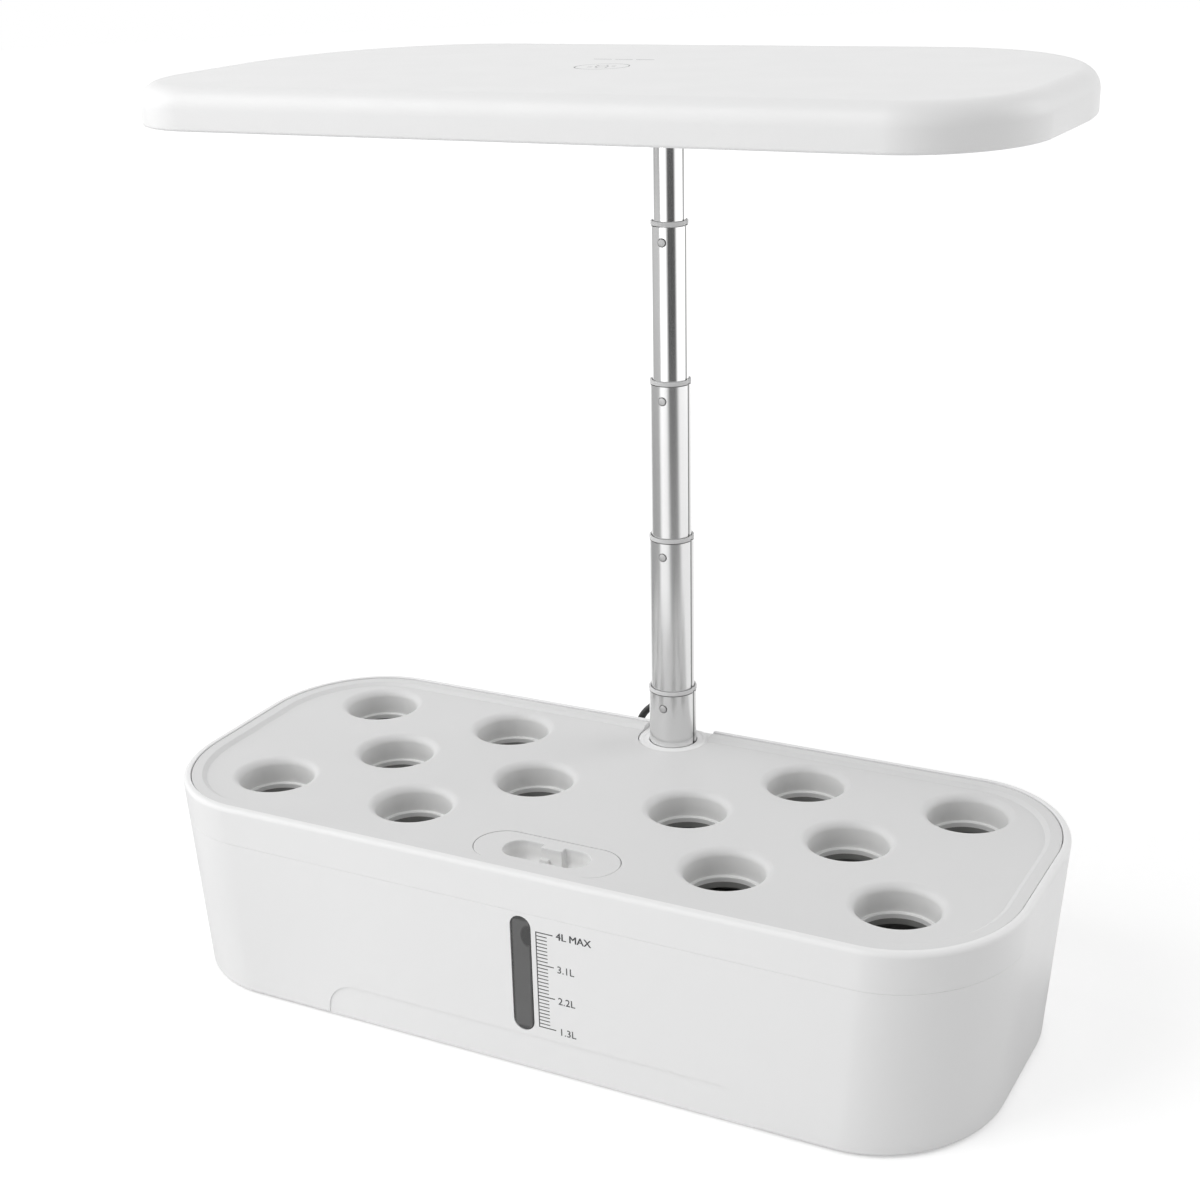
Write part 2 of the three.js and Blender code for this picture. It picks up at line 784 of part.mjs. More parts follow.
function topStage() {
  const tubeTop = riseToLamp + lampSocket.depth;
  const leadTop = tubeTop + fit.seat + lampSocket.shoulder;
  return [
    piece('tube_top', poleTube(4, -pole.tailBelowButton, tubeTop, frontHole(0)), finish.chrome),
    piece('snap_spring_top', snapLeaf(4), finish.springSteel),
    piece('snap_button_top', snapButton(4), finish.chrome),
    piece('lead_top', straightLead(lead.joinAbove + fit.seat, leadTop), finish.blackRubber),
    group([0, 0, riseToLamp], ...lampPieces()),
  ];
}

function poleBase(upper) {
  const bottom = bodyBase + 2 * (socket.base + fit.seat);
  const top = firstButtonZ + pole.topAboveButton;
  const cordHole = crossDrum(grommet.neck + fit.seat, 0, pole.baseRadius + fit.cut, 14, grommetZ);
  return [
    piece('tube_base', poleTube(0, bottom, top, frontHole(firstButtonZ), cordHole), finish.chrome),
    piece('collar_base', poleCollar(0), finish.collarPlastic, [0, 0, top + fit.seat]),
    piece('cord_grommet', cordGrommet(), finish.blackRubber, [0, 0, grommetZ]),
    piece(
      'lead_entry',
      entryLead(firstButtonZ + lead.joinAbove - grommetZ),
      finish.blackRubber,
      [0, 0, grommetZ],
    ),
    group([0, 0, firstButtonZ], ...upper),
  ];
}

// Lamp, its origin on the pole's axis at its underside

function lampPlan(inset) {
  return roundedPlan({
    halfLength: lamp.length / 2 - inset,
    front: inset - lamp.ahead,
    back: lamp.behind - inset,
    frontCorner: [lamp.frontCornerLong - inset, lamp.frontCornerDeep - inset],
    rearCorner: [lamp.rearCornerLong - inset, lamp.rearCornerDeep - inset],
  });
}

const lampScrewPlaces = [-1, 1].flatMap((side) => [
  [side * (lamp.length / 2 - lampScrew.frontFromEnd), lampScrew.frontFromEdge - lamp.ahead],
  [side * (lamp.length / 2 - lampScrew.rearFromEnd), lamp.behind - lampScrew.rearFromEdge],
]);

function lampShell() {
  const top = lamp.thickness;
  const roof = top - lamp.wall;
  const outer = loft(lampPlan, [
    [lamp.bottomEdge, 0], [0, lamp.bottomEdge], ...topEdge(lamp.topEdge, top, 4),
  ]);
  const roofEdge = topEdge(lamp.topEdge - lamp.wall, roof, 2).map(([inset, z]) => [lamp.wall + inset, z]);
  const inside = loft(lampPlan, [[lamp.wall, -fit.cut], ...roofEdge]);
  const bosses = lampScrewPlaces.map(([x, y]) => (
    drum(lampScrew.boss, panelTop + fit.seat, roof + lamp.wall / 2, 10, x, y)
  ));
  const pilots = lampScrewPlaces.map(([x, y]) => (
    drum(lampScrew.shank + fit.seat, 0, lamp.panelInset + lampScrew.length + fit.seat, 8, x, y)
  ));
  return cut(join(cut(outer, inside), ...bosses), ...pilots);
}

// Bottom panel with a window for the lights, recessed in the shell
function lampPanel() {
  const inset = lamp.wall + fit.seat;
  const plate = loft(lampPlan, [[inset, lamp.panelInset], [inset, panelTop]]);
  const window = block(
    [ledLength - 2 * ledBoard.seat, ledBoard.width - 2 * ledBoard.seat, 2 * panelTop],
    [0, -ledBoard.ahead, panelTop],
  );
  const poleHole = drum(stageRadius(4) + fit.slide, 0, 2 * panelTop, 16);
  const screwHoles = lampScrewPlaces.flatMap(([x, y]) => [
    drum(lampScrew.shank + fit.seat, 0, 2 * panelTop, 8, x, y),
    drum(lampScrew.head + fit.seat, 0, lamp.panelInset + lampScrew.headHeight + fit.seat, 12, x, y),
  ]);
  return cut(plate, window, poleHole, ...screwHoles);
}

function ledPanel() {
  const board = block(
    [ledLength, ledBoard.width, ledBoard.thickness],
    [0, 0, ledBoard.thickness / 2],
  );
  const chips = Array.from({ length: ledBoard.chipRows * ledBoard.chipColumns }, (_, i) => {
    const column = i % ledBoard.chipColumns - (ledBoard.chipColumns - 1) / 2;
    const row = Math.floor(i / ledBoard.chipColumns) - (ledBoard.chipRows - 1) / 2;
    return block(
      [ledBoard.chip, ledBoard.chip, 2 * ledBoard.chipHeight],
      [column * chipPitch, row * ledBoard.chipRowPitch, 0],
    );
  });
  return join(board, ...chips);
}

// Boss that grips the top tube: a flange on the panel, a bore and a stop shoulder
function lampPoleSocket() {
  const bore = stageRadius(4) + fit.slide;
  const bottom = panelTop + fit.seat;
  const shoulder = lampSocket.depth + fit.seat;
  const profile = [
    [bore, bottom],
    [bore + lampSocket.wall + lampSocket.flange, bottom],
    [bore + lampSocket.wall + lampSocket.flange, bottom + lampSocket.flangeThickness],
    [bore + lampSocket.wall, bottom + lampSocket.flangeThickness],
    [bore + lampSocket.wall, shoulder + lampSocket.shoulder],
    [lampSocket.shoulderBore, shoulder + lampSocket.shoulder],
    [lampSocket.shoulderBore, shoulder],
    [bore, shoulder],
  ];
  return turned([...profile, profile[0]], 16);
}

function driverBoard() {
  const { length, width, thickness, partHeight, partLength, partGap } = driver;
  const parts = [-1, 0, 1].map((step) => block(
    [partLength, width / 2, partHeight + thickness],
    [step * (partLength + partGap), 0, (partHeight + thickness) / 2],
  ));
  return join(block([length, width, thickness], [0, 0, thickness / 2]), ...parts);
}

function touchPanel() {
  const { length, width, thickness } = touchBoard;
  return block([length, width, thickness], [0, 0, -thickness / 2]);
}

function slottedScrew() {
  const screw = turned([
    [0, 0],
    [lampScrew.head, 0],
    [lampScrew.head, lampScrew.headHeight],
    [lampScrew.shank, lampScrew.headHeight],
    [lampScrew.shank, lampScrew.length],
    [0, lampScrew.length],
  ], 10);
  return cut(screw, block([2 * lampScrew.head, lampScrew.slotWidth, 2 * lampScrew.slotDepth], [0, 0, 0]));
}

function lampPieces() {
  const onPanel = panelTop + fit.seat;
  return [
    piece('lamp_shell', lampShell(), finish.whitePlastic),
    piece('lamp_panel', lampPanel(), finish.whitePlastic),
    piece('led_board', ledPanel(), finish.boardWhite, [0, -ledBoard.ahead, onPanel]),
    piece('lamp_pole_socket', lampPoleSocket(), finish.whitePlastic),
    piece('driver_board', driverBoard(), finish.boardGreen, [driver.offsetX, 0, onPanel]),
    piece('touch_board', touchPanel(), finish.boardGreen, [
      touchBoard.offsetX, -touchBoard.ahead, lamp.thickness - lamp.wall - fit.seat,
    ]),
    ...lampScrewPlaces.map(([x, y], i) => (
      piece(`lamp_screw_${i + 1}`, slottedScrew(), finish.springSteel, [x, y, lamp.panelInset])
    )),
  ];
}

// Water pump, its origin under its middle on the tank's floor

const pumpBottom = pump.cupHeight + fit.seat;
const pumpAxisZ = pumpBottom + pump.height / 2;
const chamberBack = pump.chamberDepth - pump.depth / 2;

function pumpOutline(halfLength, halfWidth) {
  const corner = [pump.corner, pump.corner];
  const sides = { halfLength, front: -halfWidth, back: halfWidth };
  return roundedPlan({ ...sides, frontCorner: corner, rearCorner: corner }, 3);
}

function pumpBody() {
  const front = -pump.depth / 2;
  const top = pumpBottom + pump.height;
  const nozzleY = (front + chamberBack) / 2;
  const housing = prism(pumpOutline(pump.width / 2, pump.depth / 2), pumpBottom, top);
  const nozzle = drum(pump.nozzle, pumpAxisZ, top + pump.nozzleHeight, 14, 0, nozzleY);
  return cut(
    join(housing, nozzle),
    crossDrum(pump.chamber, front - fit.cut, chamberBack, 20, pumpAxisZ),
    drum(pump.nozzleBore, pumpAxisZ, top + pump.nozzleHeight + fit.cut, 10, 0, nozzleY),
    crossDrum(
      impeller.shaft + fit.slide,
      chamberBack - fit.cut,
      chamberBack + impeller.shaftDepth,
      12,
      pumpAxisZ,
    ),
  );
}

// Slotted intake cover on the pump's front
function pumpCover() {
  const slots = Array.from({ length: pump.slotCount }, (_, i) => (
    stadium(pump.slotHeight, pump.slotWidth, 0, (i - (pump.slotCount - 1) / 2) * pump.slotPitch, 3)
  ));
  const plate = prism(pumpOutline(pump.height / 2, pump.width / 2), 0, pump.coverThickness, ...slots);
  return plate.rotate([0, 0, 90]).rotate([90, 0, 0]);
}

// Its origin is on the shaft at the chamber's back wall, the shaft's axis turned to the front
function pumpImpeller() {
  const discTop = fit.slide + impeller.discThickness;
  const hubTop = discTop + impeller.vaneDepth;
  const tail = fit.seat - impeller.shaftDepth;
  const core = turned([
    [0, tail],
    [impeller.shaft, tail],
    [impeller.shaft, fit.slide],
    [impeller.disc, fit.slide],
    [impeller.disc, discTop],
    [impeller.hub, discTop],
    [impeller.hub, hubTop],
    [0, hubTop],
  ], 18);
  const vaneLength = impeller.disc - impeller.hub / 2;
  const vane = block(
    [vaneLength, impeller.vaneThickness, impeller.vaneDepth + impeller.discThickness / 2],
    [impeller.disc - vaneLength / 2, 0, hubTop - (impeller.vaneDepth + impeller.discThickness / 2) / 2],
  );
  const vanes = Array.from(
    { length: impeller.vaneCount },
    (_, i) => vane.rotate([0, 0, (i * 360) / impeller.vaneCount]),
  );
  return join(core, ...vanes).rotate([90, 0, 0]);
}

function suctionCup() {
  return turned([
    [0, pump.cupHollow],
    [pump.cupRadius, 0],
    [pump.cupRadius, pump.cupLip],
    [pump.cupNeck, pump.cupHeight - pump.cupHollow],
    [pump.cupNeck, pump.cupHeight],
    [0, pump.cupHeight],
  ], 12);
}

function pumpPieces() {
  const cupX = pump.width / 2 - pump.cupInset;
  const cupY = pump.depth / 2 - pump.cupInset;
  const cupPlaces = [[-cupX, -cupY], [cupX, -cupY], [-cupX, cupY], [cupX, cupY]];
  return [
    piece('pump_body', pumpBody(), finish.blackPlastic),
    piece('pump_cover', pumpCover(), finish.blackPlastic, [0, -pump.depth / 2 - fit.seat, pumpAxisZ]),
    piece('pump_impeller', pumpImpeller(), finish.whitePlastic, [0, chamberBack, pumpAxisZ]),
    ...cupPlaces.map(([x, y], i) => piece(`pump_cup_${i + 1}`, suctionCup(), finish.clearRubber, [x, y, 0])),
  ];
}

// The pump's lead climbs beside the dry column and enters it through the well's wall
const pumpLeadShares = [
  [0, 0, 0],
  [0.14, 0, 0],
  [0.307, 0.089, 0.09],
  [0.39, 0.321, 0.315],
  [0.407, 0.607, 0.586],
  [0.457, 0.857, 0.833],
  [0.607, 0.986, 0.977],
  [0.773, 1, 1],
  [1, 1, 1],
];

function pumpLead() {
  const start = new THREE.Vector3(pump.x + pump.width / 2 + fit.seat, pump.y, tankFloorTop + lead.pumpStart);
  const way = new THREE.Vector3(-socketHalf - fit.seat, pumpLeadEntry.y, pumpLeadEntry.z).sub(start);
  const route = pumpLeadShares.map(
    (shares) => new THREE.Vector3(...shares).multiply(way).add(start).toArray(),
  );
  return sweep(route, lead.pumpRadius, cord.sides, 4 * lead.pumpRadius).geometry;
}

// Power cord: from the pole's rear down behind the tank, coiled on the table, and on to its adapter.
// The points of both routes are measured from the tank's rear face.

const cordDropRoute = [
  [0, 6.5, 98.3],
  [-3, 11.5, 98.3],
  [-9, 14.3, 98.1],
  [-16, 14.7, 97.3],
  [-22.6, 14.3, 94.8],
  [-27.6, 13.3, 90],
  [-30.4, 11.9, 83],
  [-31.6, 10.3, 73],
  [-32, 8.9, 60],
  [-32.3, 7.9, 42],
  [-32.8, 7.5, 25],
  [-35.6, 7.4, 12],
  [-41.6, 7.3, 4.4],
  [-50, 7.3, 1.9],
];
const cordTailRoute = [
  [-53, 68.7, 5.8],
  [-46, 68.7, 5.2],
  [-37, 68.4, 3.5],
  [-28, 67.5, 2.2],
  [-18, 65.9, 2],
  [-8, 63.7, 3.2],
  [1, 61.5, 6.2],
  [9.5, 59.7, 10.2],
  [17, 58.7, 12.9],
  [23, 58.5, 13.5],
];
const behindTank = ([x, behind, z]) => [x, rearFace + behind, z];

function powerCord() {
  return sweep([
    [0, poleY + grommetEnd + fit.seat, grommetZ],
    ...cordDropRoute.map(behindTank),
    [cord.coilX + cordDiameter + fit.seat, coilY - coilOuter, cord.radius],
  ], cord.radius, cord.sides, cord.step);
}

function powerCordTail() {
  return sweep([
    [cord.coilX + cordDiameter + fit.seat, coilY + coilOuter, coilTopZ],
    ...cordTailRoute.map(behindTank),
    [reliefX - adapter.reliefLength - fit.seat, adapterY, adapter.height / 2],
  ], cord.radius, cord.sides, cord.step);
}

// Middle line of the coil: one layer spirals in, climbs at the turn-round and spirals out on top
function coilRoute() {
  const turns = 2 * cord.layerTurns;
  const lift = cord.tieThickness + cord.tieSlack;
  const loops = Array.from({ length: Math.round(turns * cord.loopSteps) + 1 }, (_, i) => {
    const turn = i / cord.loopSteps;
    const fromReverse = turn - cord.layerTurns;
    const angle = -quarter - turn * 2 * Math.PI;
    const radius = coilInner + Math.abs(fromReverse) * cord.turnPitch;
    const climb = THREE.MathUtils.smoothstep(fromReverse, -0.25, 0.25);
    const tieShare = Math.max(0, -Math.cos(angle)) ** 8;
    return new THREE.Vector3(
      radius * Math.cos(angle),
      radius * Math.sin(angle),
      cord.radius + cord.layerPitch * climb + lift * tieShare,
    );
  });
  const ahead = new THREE.Vector3(cordDiameter, 0, 0);
  return [loops[0].clone().add(ahead), ...loops, loops.at(-1).clone().add(ahead)];
}

function routeLength(route) {
  return route.slice(1).reduce((sum, point, i) => sum + point.distanceTo(route[i]), 0);
}

// Least clear distance between strands at least half a turn apart, on points along the middle line
function leastGap(route) {
  const parts = 8;
  const points = route.slice(1).flatMap((point, i) => (
    Array.from({ length: parts }, (_, k) => route[i].clone().lerp(point, k / parts))
  ));
  const apart = (cord.loopSteps / 2) * parts;
  let least = Infinity;
  points.forEach((point, i) => {
    for (let j = i + apart; j < points.length; j += 1) least = Math.min(least, point.distanceTo(points[j]));
  });
  return least - cordDiameter;
}

function coiledCord(route) {
  const up = new THREE.Vector3(0, 0, 1);
  return skin(route.map((point, i) => {
    const before = route[Math.max(i - 1, 0)];
    const after = route[Math.min(i + 1, route.length - 1)];
    const along = after.clone().sub(before).normalize();
    const left = up.clone().cross(along).normalize();
    const over = along.clone().cross(left);
    return Array.from({ length: cord.loopSides }, (_, k) => {
      const angle = (k / cord.loopSides) * 2 * Math.PI - quarter;
      return point.clone()
        .addScaledVector(left, cord.radius * Math.cos(angle))
        .addScaledVector(over, cord.radius * Math.sin(angle));
    });
  }));
}

// Strap round both layers of the coil, on its -X side
function cordTie() {
  const { tieThickness, tieSlack, tieWidth } = cord;
  const nearTurn = coilInner + cord.turnPitch / 2;
  const farTurn = coilInner + (cord.layerTurns - 0.25) * cord.turnPitch;
  const near = Math.sqrt((nearTurn - cord.radius) ** 2 - (tieWidth / 2) ** 2) - fit.seat;
  const far = farTurn + cord.radius + fit.seat;
  const holeTop = tieThickness + tieSlack + coilTopZ + cord.radius + fit.seat;
  const outline = (grow) => {
    const corner = [cord.radius + grow, cord.radius + grow];
    return roundedPlan({
      halfLength: (far - near) / 2 + grow,
      front: tieThickness - grow,
      back: holeTop + grow,
      frontCorner: corner,
      rearCorner: corner,
    }, 3);
  };
  return prism(outline(tieThickness), -tieWidth / 2, tieWidth / 2, outline(0))
    .rotate([90, 0, 0])
    .translate(-(near + far) / 2, 0, 0);
}

function adapterBody() {
  const plan = (inset) => {
    const corner = [adapter.corner - inset, adapter.corner - inset];
    return roundedPlan({
      halfLength: adapter.length / 2 - inset,
      front: inset - adapter.width / 2,
      back: adapter.width / 2 - inset,
      frontCorner: corner,
      rearCorner: corner,
    }, 4);
  };
  return loft(plan, [...bottomEdge(adapter.edge, 0, 2), ...topEdge(adapter.edge, adapter.height, 2)]);
}

function adapterProng() {
  return block(
    [adapter.prongWidth, adapter.prongThickness, adapter.prongLength],
    [0, 0, adapter.prongLength / 2],
  );
}

// Tapered strain relief, stepped like its moulded ribs
function adapterRelief() {
  const ribShares = [0, 1 / 3, 2 / 3];
  const fall = adapter.reliefRadius - adapter.reliefTip;
  const steps = ribShares.flatMap((share) => {
    const radius = adapter.reliefRadius - share * fall;
    const low = share * adapter.reliefLength;
    const groove = fall / 4;
    const ribLength = adapter.reliefLength / 4.5;
    return [
      [radius, low],
      [radius, low + ribLength],
      [radius - groove, low + ribLength],
      [radius - groove, low + 1.5 * ribLength],
    ];
  });
  return turned([[0, 0], ...steps, [0, adapter.reliefLength]], 10).rotate([0, -90, 0]);
}

// Assembly

const stand = powerCord();
const tail = powerCordTail();
const route = coilRoute();
console.log(
  `cord: coil ${routeLength(route).toFixed(0)} mm,`,
  `stretches ${stand.length.toFixed(0)} and ${tail.length.toFixed(0)} mm,`,
  `least gap in the coil ${leastGap(route).toFixed(2)} mm`,
);

const tankGroup = group(
  [0, 0, 0],
  piece('tank_body', tankBody(), finish.whitePlastic),
  piece('upper_rim', upperRim(), finish.whitePlastic),
  piece('water_window', waterWindow(), finish.smokedWindow),
  piece('pole_socket', poleSocket(), finish.whitePlastic),
  ...footPlaces().map(([x, y], i) => (
    piece(`rubber_foot_${i + 1}`, drum(foot.radius, 0, foot.height, 20), finish.clearRubber, [x, y, 0])
  )),
  piece('pump_lead', pumpLead(), finish.blackRubber),
);

const deckGroup = group(
  [0, 0, 0],
  piece('grow_deck', growDeck(), finish.deckPlastic),
  piece('filler_cap', fillerCap(), finish.deckPlastic, [cap.centreX, capY, fieldTop]),
);

const [lowerRise, middleRise, upperRise] = pole.buttonRises;
const upperStage = poleStage(3, 'upper', upperRise, topStage());
const middleStage = poleStage(2, 'middle', middleRise, upperStage);
const lowerStage = poleStage(1, 'lower', lowerRise, middleStage);

const prongX = adapter.x + adapter.length / 2 - adapter.prongFromEnd;
const cordGroup = group(
  [0, 0, 0],
  piece('power_cord', stand.geometry, finish.blackRubber),
  piece('power_cord_tail', tail.geometry, finish.blackRubber),
  piece('cord_coil', coiledCord(route), finish.blackRubber, [cord.coilX, coilY, 0]),
  piece('cord_tie', cordTie(), finish.blackPlastic, [cord.coilX, coilY, 0]),
  piece('adapter_body', adapterBody(), finish.blackPlastic, [adapter.x, adapterY, 0]),
  piece('adapter_relief', adapterRelief(), finish.blackRubber, [reliefX, adapterY, adapter.height / 2]),
  ...[-1, 1].map((side, i) => piece(`adapter_prong_${i + 1}`, adapterProng(), finish.brightMetal, [
    prongX, adapterY + (side * adapter.prongSpacing) / 2, adapter.height + fit.seat,
  ])),
);

// The origin stands under the middle of the tank and lamp taken together
const lampRear = poleY + lamp.behind;
const garden = group(
  [0, -(frontFace + lampRear) / 2, 0],
  tankGroup,
  deckGroup,
  group([pump.x, pump.y, tankFloorTop + fit.seat], ...pumpPieces()),
  group([0, poleY, 0], ...poleBase(lowerStage)),
  cordGroup,
);

export default garden;
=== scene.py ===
"""Studio scene of a countertop hydroponic garden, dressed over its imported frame."""
from __future__ import annotations

import json
import logging
import math
from contextlib import contextmanager
from dataclasses import dataclass, field
from enum import Enum
from typing import Callable, Iterator, Sequence

import bmesh
import bpy
from mathutils import Matrix, Vector

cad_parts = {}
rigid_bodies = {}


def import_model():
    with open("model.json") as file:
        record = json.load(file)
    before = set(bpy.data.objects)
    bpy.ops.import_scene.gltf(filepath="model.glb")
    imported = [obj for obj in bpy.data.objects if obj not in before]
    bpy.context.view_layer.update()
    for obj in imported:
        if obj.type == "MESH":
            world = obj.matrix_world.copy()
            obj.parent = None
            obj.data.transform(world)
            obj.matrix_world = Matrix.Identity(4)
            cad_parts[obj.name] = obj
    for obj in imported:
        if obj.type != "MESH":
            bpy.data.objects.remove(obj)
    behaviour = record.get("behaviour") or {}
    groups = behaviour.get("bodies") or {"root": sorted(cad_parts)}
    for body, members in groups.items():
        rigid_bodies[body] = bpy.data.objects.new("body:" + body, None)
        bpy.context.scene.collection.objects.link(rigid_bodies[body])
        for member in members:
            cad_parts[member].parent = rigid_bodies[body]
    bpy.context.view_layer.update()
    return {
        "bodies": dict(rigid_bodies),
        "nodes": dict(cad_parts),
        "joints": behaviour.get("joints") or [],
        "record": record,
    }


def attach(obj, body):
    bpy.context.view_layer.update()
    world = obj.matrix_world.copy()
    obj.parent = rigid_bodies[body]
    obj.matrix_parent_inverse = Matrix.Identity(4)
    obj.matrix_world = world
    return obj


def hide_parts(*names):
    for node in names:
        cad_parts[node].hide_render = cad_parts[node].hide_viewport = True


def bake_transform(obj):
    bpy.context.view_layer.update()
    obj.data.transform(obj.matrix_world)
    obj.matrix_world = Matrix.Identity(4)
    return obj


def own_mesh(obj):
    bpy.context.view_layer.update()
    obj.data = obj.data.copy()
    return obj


LOG = logging.getLogger("garden")
MM = 0.001
# The row's origin lies this far behind the middle of the tank, in millimetres
TANK_BACK = 23.1
QUARTER = math.pi / 2

Point = tuple[float, float, float]
Profile = list[tuple[float, float]]


def at(x: float, y: float, z: float) -> Vector:
    """Return a point of the tank's own frame, in millimetres, as a point of the row frame in metres."""
    return Vector((x, y - TANK_BACK, z)) * MM


# Shader graph


class Socket:
    """An output of a shader graph that takes part in Python arithmetic."""

    def __init__(self, graph: "Graph", link: bpy.types.NodeSocket) -> None:
        """Keep the graph and the output that this stands for."""
        self.graph = graph
        self.link = link

    def _with(self, operation: str, *values: "Socket | float") -> "Socket":
        """Return the result of one Math node."""
        node = self.graph.node("ShaderNodeMath", {"operation": operation}, *values)
        return Socket(self.graph, node.outputs[0])

    def __add__(self, other: "Socket | float") -> "Socket":
        """Return self + other."""
        return self._with("ADD", self, other)

    __radd__ = __add__

    def __sub__(self, other: "Socket | float") -> "Socket":
        """Return self - other."""
        return self._with("SUBTRACT", self, other)

    def __rsub__(self, other: float) -> "Socket":
        """Return other - self."""
        return self._with("SUBTRACT", other, self)

    def __mul__(self, other: "Socket | float") -> "Socket":
        """Return self * other."""
        return self._with("MULTIPLY", self, other)

    __rmul__ = __mul__

    def __truediv__(self, other: "Socket | float") -> "Socket":
        """Return self / other."""
        return self._with("DIVIDE", self, other)

    def __gt__(self, other: "Socket | float") -> "Socket":
        """Return 1 where self is the greater."""
        return self._with("GREATER_THAN", self, other)

    def __lt__(self, other: "Socket | float") -> "Socket":
        """Return 1 where self is the smaller."""
        return self._with("LESS_THAN", self, other)

    def size(self) -> "Socket":
        """Return the absolute value."""
        return self._with("ABSOLUTE", self)

    def root(self) -> "Socket":
        """Return the square root."""
        return self._with("SQRT", self)

    def heading(self, across: "Socket") -> "Socket":
        """Return the angle in radians from the axis of across to the point (across, self)."""
        return self._with("ARCTAN2", self, across)

    def wrapped(self, pitch: float) -> "Socket":
        """Return the value folded into one pitch."""
        return self._with("FLOORED_MODULO", self, pitch)

    def larger(self, other: "Socket | float") -> "Socket":
        """Return the larger of the two."""
        return self._with("MAXIMUM", self, other)

    def smaller(self, other: "Socket | float") -> "Socket":
        """Return the smaller of the two."""
        return self._with("MINIMUM", self, other)

    def ramp(self, low: float, high: float, start: float = 0.0, end: float = 1.0) -> "Socket":
        """Return the value mapped smoothly from low..high to start..end."""
        settings = {"interpolation_type": "SMOOTHSTEP"}
        node = self.graph.node("ShaderNodeMapRange", settings, self, low, high, start, end)
        return Socket(self.graph, node.outputs[0])

    def within(self, low: float, high: float) -> "Socket":
        """Return 1 where the value lies between low and high."""
        return (self > low) * (self < high)


class Graph:
    """The node tree of one material, built from Python expressions."""

    def __init__(self, name: str) -> None:
        """Start an empty material."""
        self.material = bpy.data.materials.new(name)
        self.material.use_nodes = True
        self.tree = self.material.node_tree
        self.tree.nodes.clear()

    def node(self, kind: str, settings: dict | None = None, *values: object, **named: object) -> bpy.types.Node:
        """Add one node.

        Args:
            kind: the node's type.
            settings: its properties, set before its sockets.
            values: numbers, colours or sockets for its inputs in order; None leaves one as it is.
            named: the same for inputs by name.

        Returns:
            The new node.
        """
        node = self.tree.nodes.new(kind)
        for key, value in (settings or {}).items():
            setattr(node, key, value)
        pairs = list(zip(node.inputs, values)) + [(node.inputs[key.replace("_", " ")], v) for key, v in named.items()]
        for socket, value in pairs:
            if value is None:
                continue
            if isinstance(value, Socket):
                self.tree.links.new(value.link, socket)
            else:
                socket.default_value = value
        return node

    def out(self, node: bpy.types.Node, name: str | int = 0) -> Socket:
        """Return one output of a node."""
        return Socket(self, node.outputs[name])

    def place(self, origin: Vector | None = None) -> Socket:
        """Return the point on the piece in metres, measured from an origin."""
        coordinates = self.out(self.node("ShaderNodeTexCoord"), "Object")
        if origin is None:
            return coordinates
        shift = self.node("ShaderNodeVectorMath", {"operation": "SUBTRACT"}, coordinates, tuple(origin))
        return self.out(shift)

    def axes(self, vector: Socket) -> tuple[Socket, Socket, Socket]:
        """Return the x, y and z of a vector."""
        node = self.node("ShaderNodeSeparateXYZ", None, vector)
        return self.out(node, 0), self.out(node, 1), self.out(node, 2)

    def noise(self, vector: Socket, scale: float, detail: float = 2.0, roughness: float = 0.5) -> Socket:
        """Return a soft noise of about 0..1."""
        node = self.node("ShaderNodeTexNoise", None, Vector=vector, Scale=scale, Detail=detail, Roughness=roughness)
        return self.out(node, 0)

    def blend(self, mask: "Socket | float", first: object, second: object) -> Socket:
        """Return first where the mask is 0 and second where it is 1, as a colour."""
        node = self.node("ShaderNodeMix", {"data_type": "RGBA"})
        for socket, value in ((node.inputs[0], mask), (node.inputs[6], first), (node.inputs[7], second)):
            if isinstance(value, Socket):
                self.tree.links.new(value.link, socket)
            elif isinstance(value, (int, float)):
                socket.default_value = value
            else:
                socket.default_value = (*value, 1.0)
        return self.out(node, 2)

    def bump(self, height: Socket, distance: float, strength: float = 1.0) -> Socket:
        """Return a normal raised by a height in metres."""
        node = self.node("ShaderNodeBump", None, Strength=strength, Distance=distance, Height=height)
        return self.out(node)

    def principled(self, **named: object) -> bpy.types.Material:
        """End the graph in a Principled shader and return the material."""
        shader = self.node("ShaderNodeBsdfPrincipled", None, **named)
        output = self.node("ShaderNodeOutputMaterial")
        self.tree.links.new(shader.outputs[0], output.inputs[0])
        return self.material


Color = tuple[float, float, float]


def grey(value: int) -> Color:
    """Return a neutral linear colour that shows as an 8-bit value."""
    share = value / 255
    linear = share / 12.92 if share <= 0.04045 else ((share + 0.055) / 1.055) ** 2.4
    return (linear, linear, linear)


@dataclass(frozen=True)
class MouldedPlastic:
    """Opaque injection-moulded plastic with a fine grain."""

    name: str
    color: Color
    roughness: float = 0.42
    grain: float = 0.00002
    grain_scale: float = 2600.0
    mottle: float = 0.02

    def tint(self, graph: Graph, place: Socket) -> Socket:
        """Return the plastic's own colour, faintly uneven as moulded parts are."""
        drift = graph.noise(place, 9.0, 2.0)
        darker = tuple(c * (1 - self.mottle) for c in self.color)
        return graph.blend(drift, darker, self.color)

    def surface(self, graph: Graph, place: Socket) -> dict[str, Socket]:
        """Return the roughness and the grain shared by all moulded plastics."""
        speck = graph.noise(place, self.grain_scale, 2.0, 0.6)
        wear = graph.noise(place, 40.0, 3.0)
        return {
            "Roughness": wear.ramp(0.25, 0.75, self.roughness - 0.04, self.roughness + 0.05),
            "Normal": graph.bump(speck, self.grain),
        }

    def make(self) -> bpy.types.Material:
        """Return the material."""
        graph = Graph(self.name)
        place = graph.place()
        return graph.principled(Base_Color=self.tint(graph, place), **self.surface(graph, place))


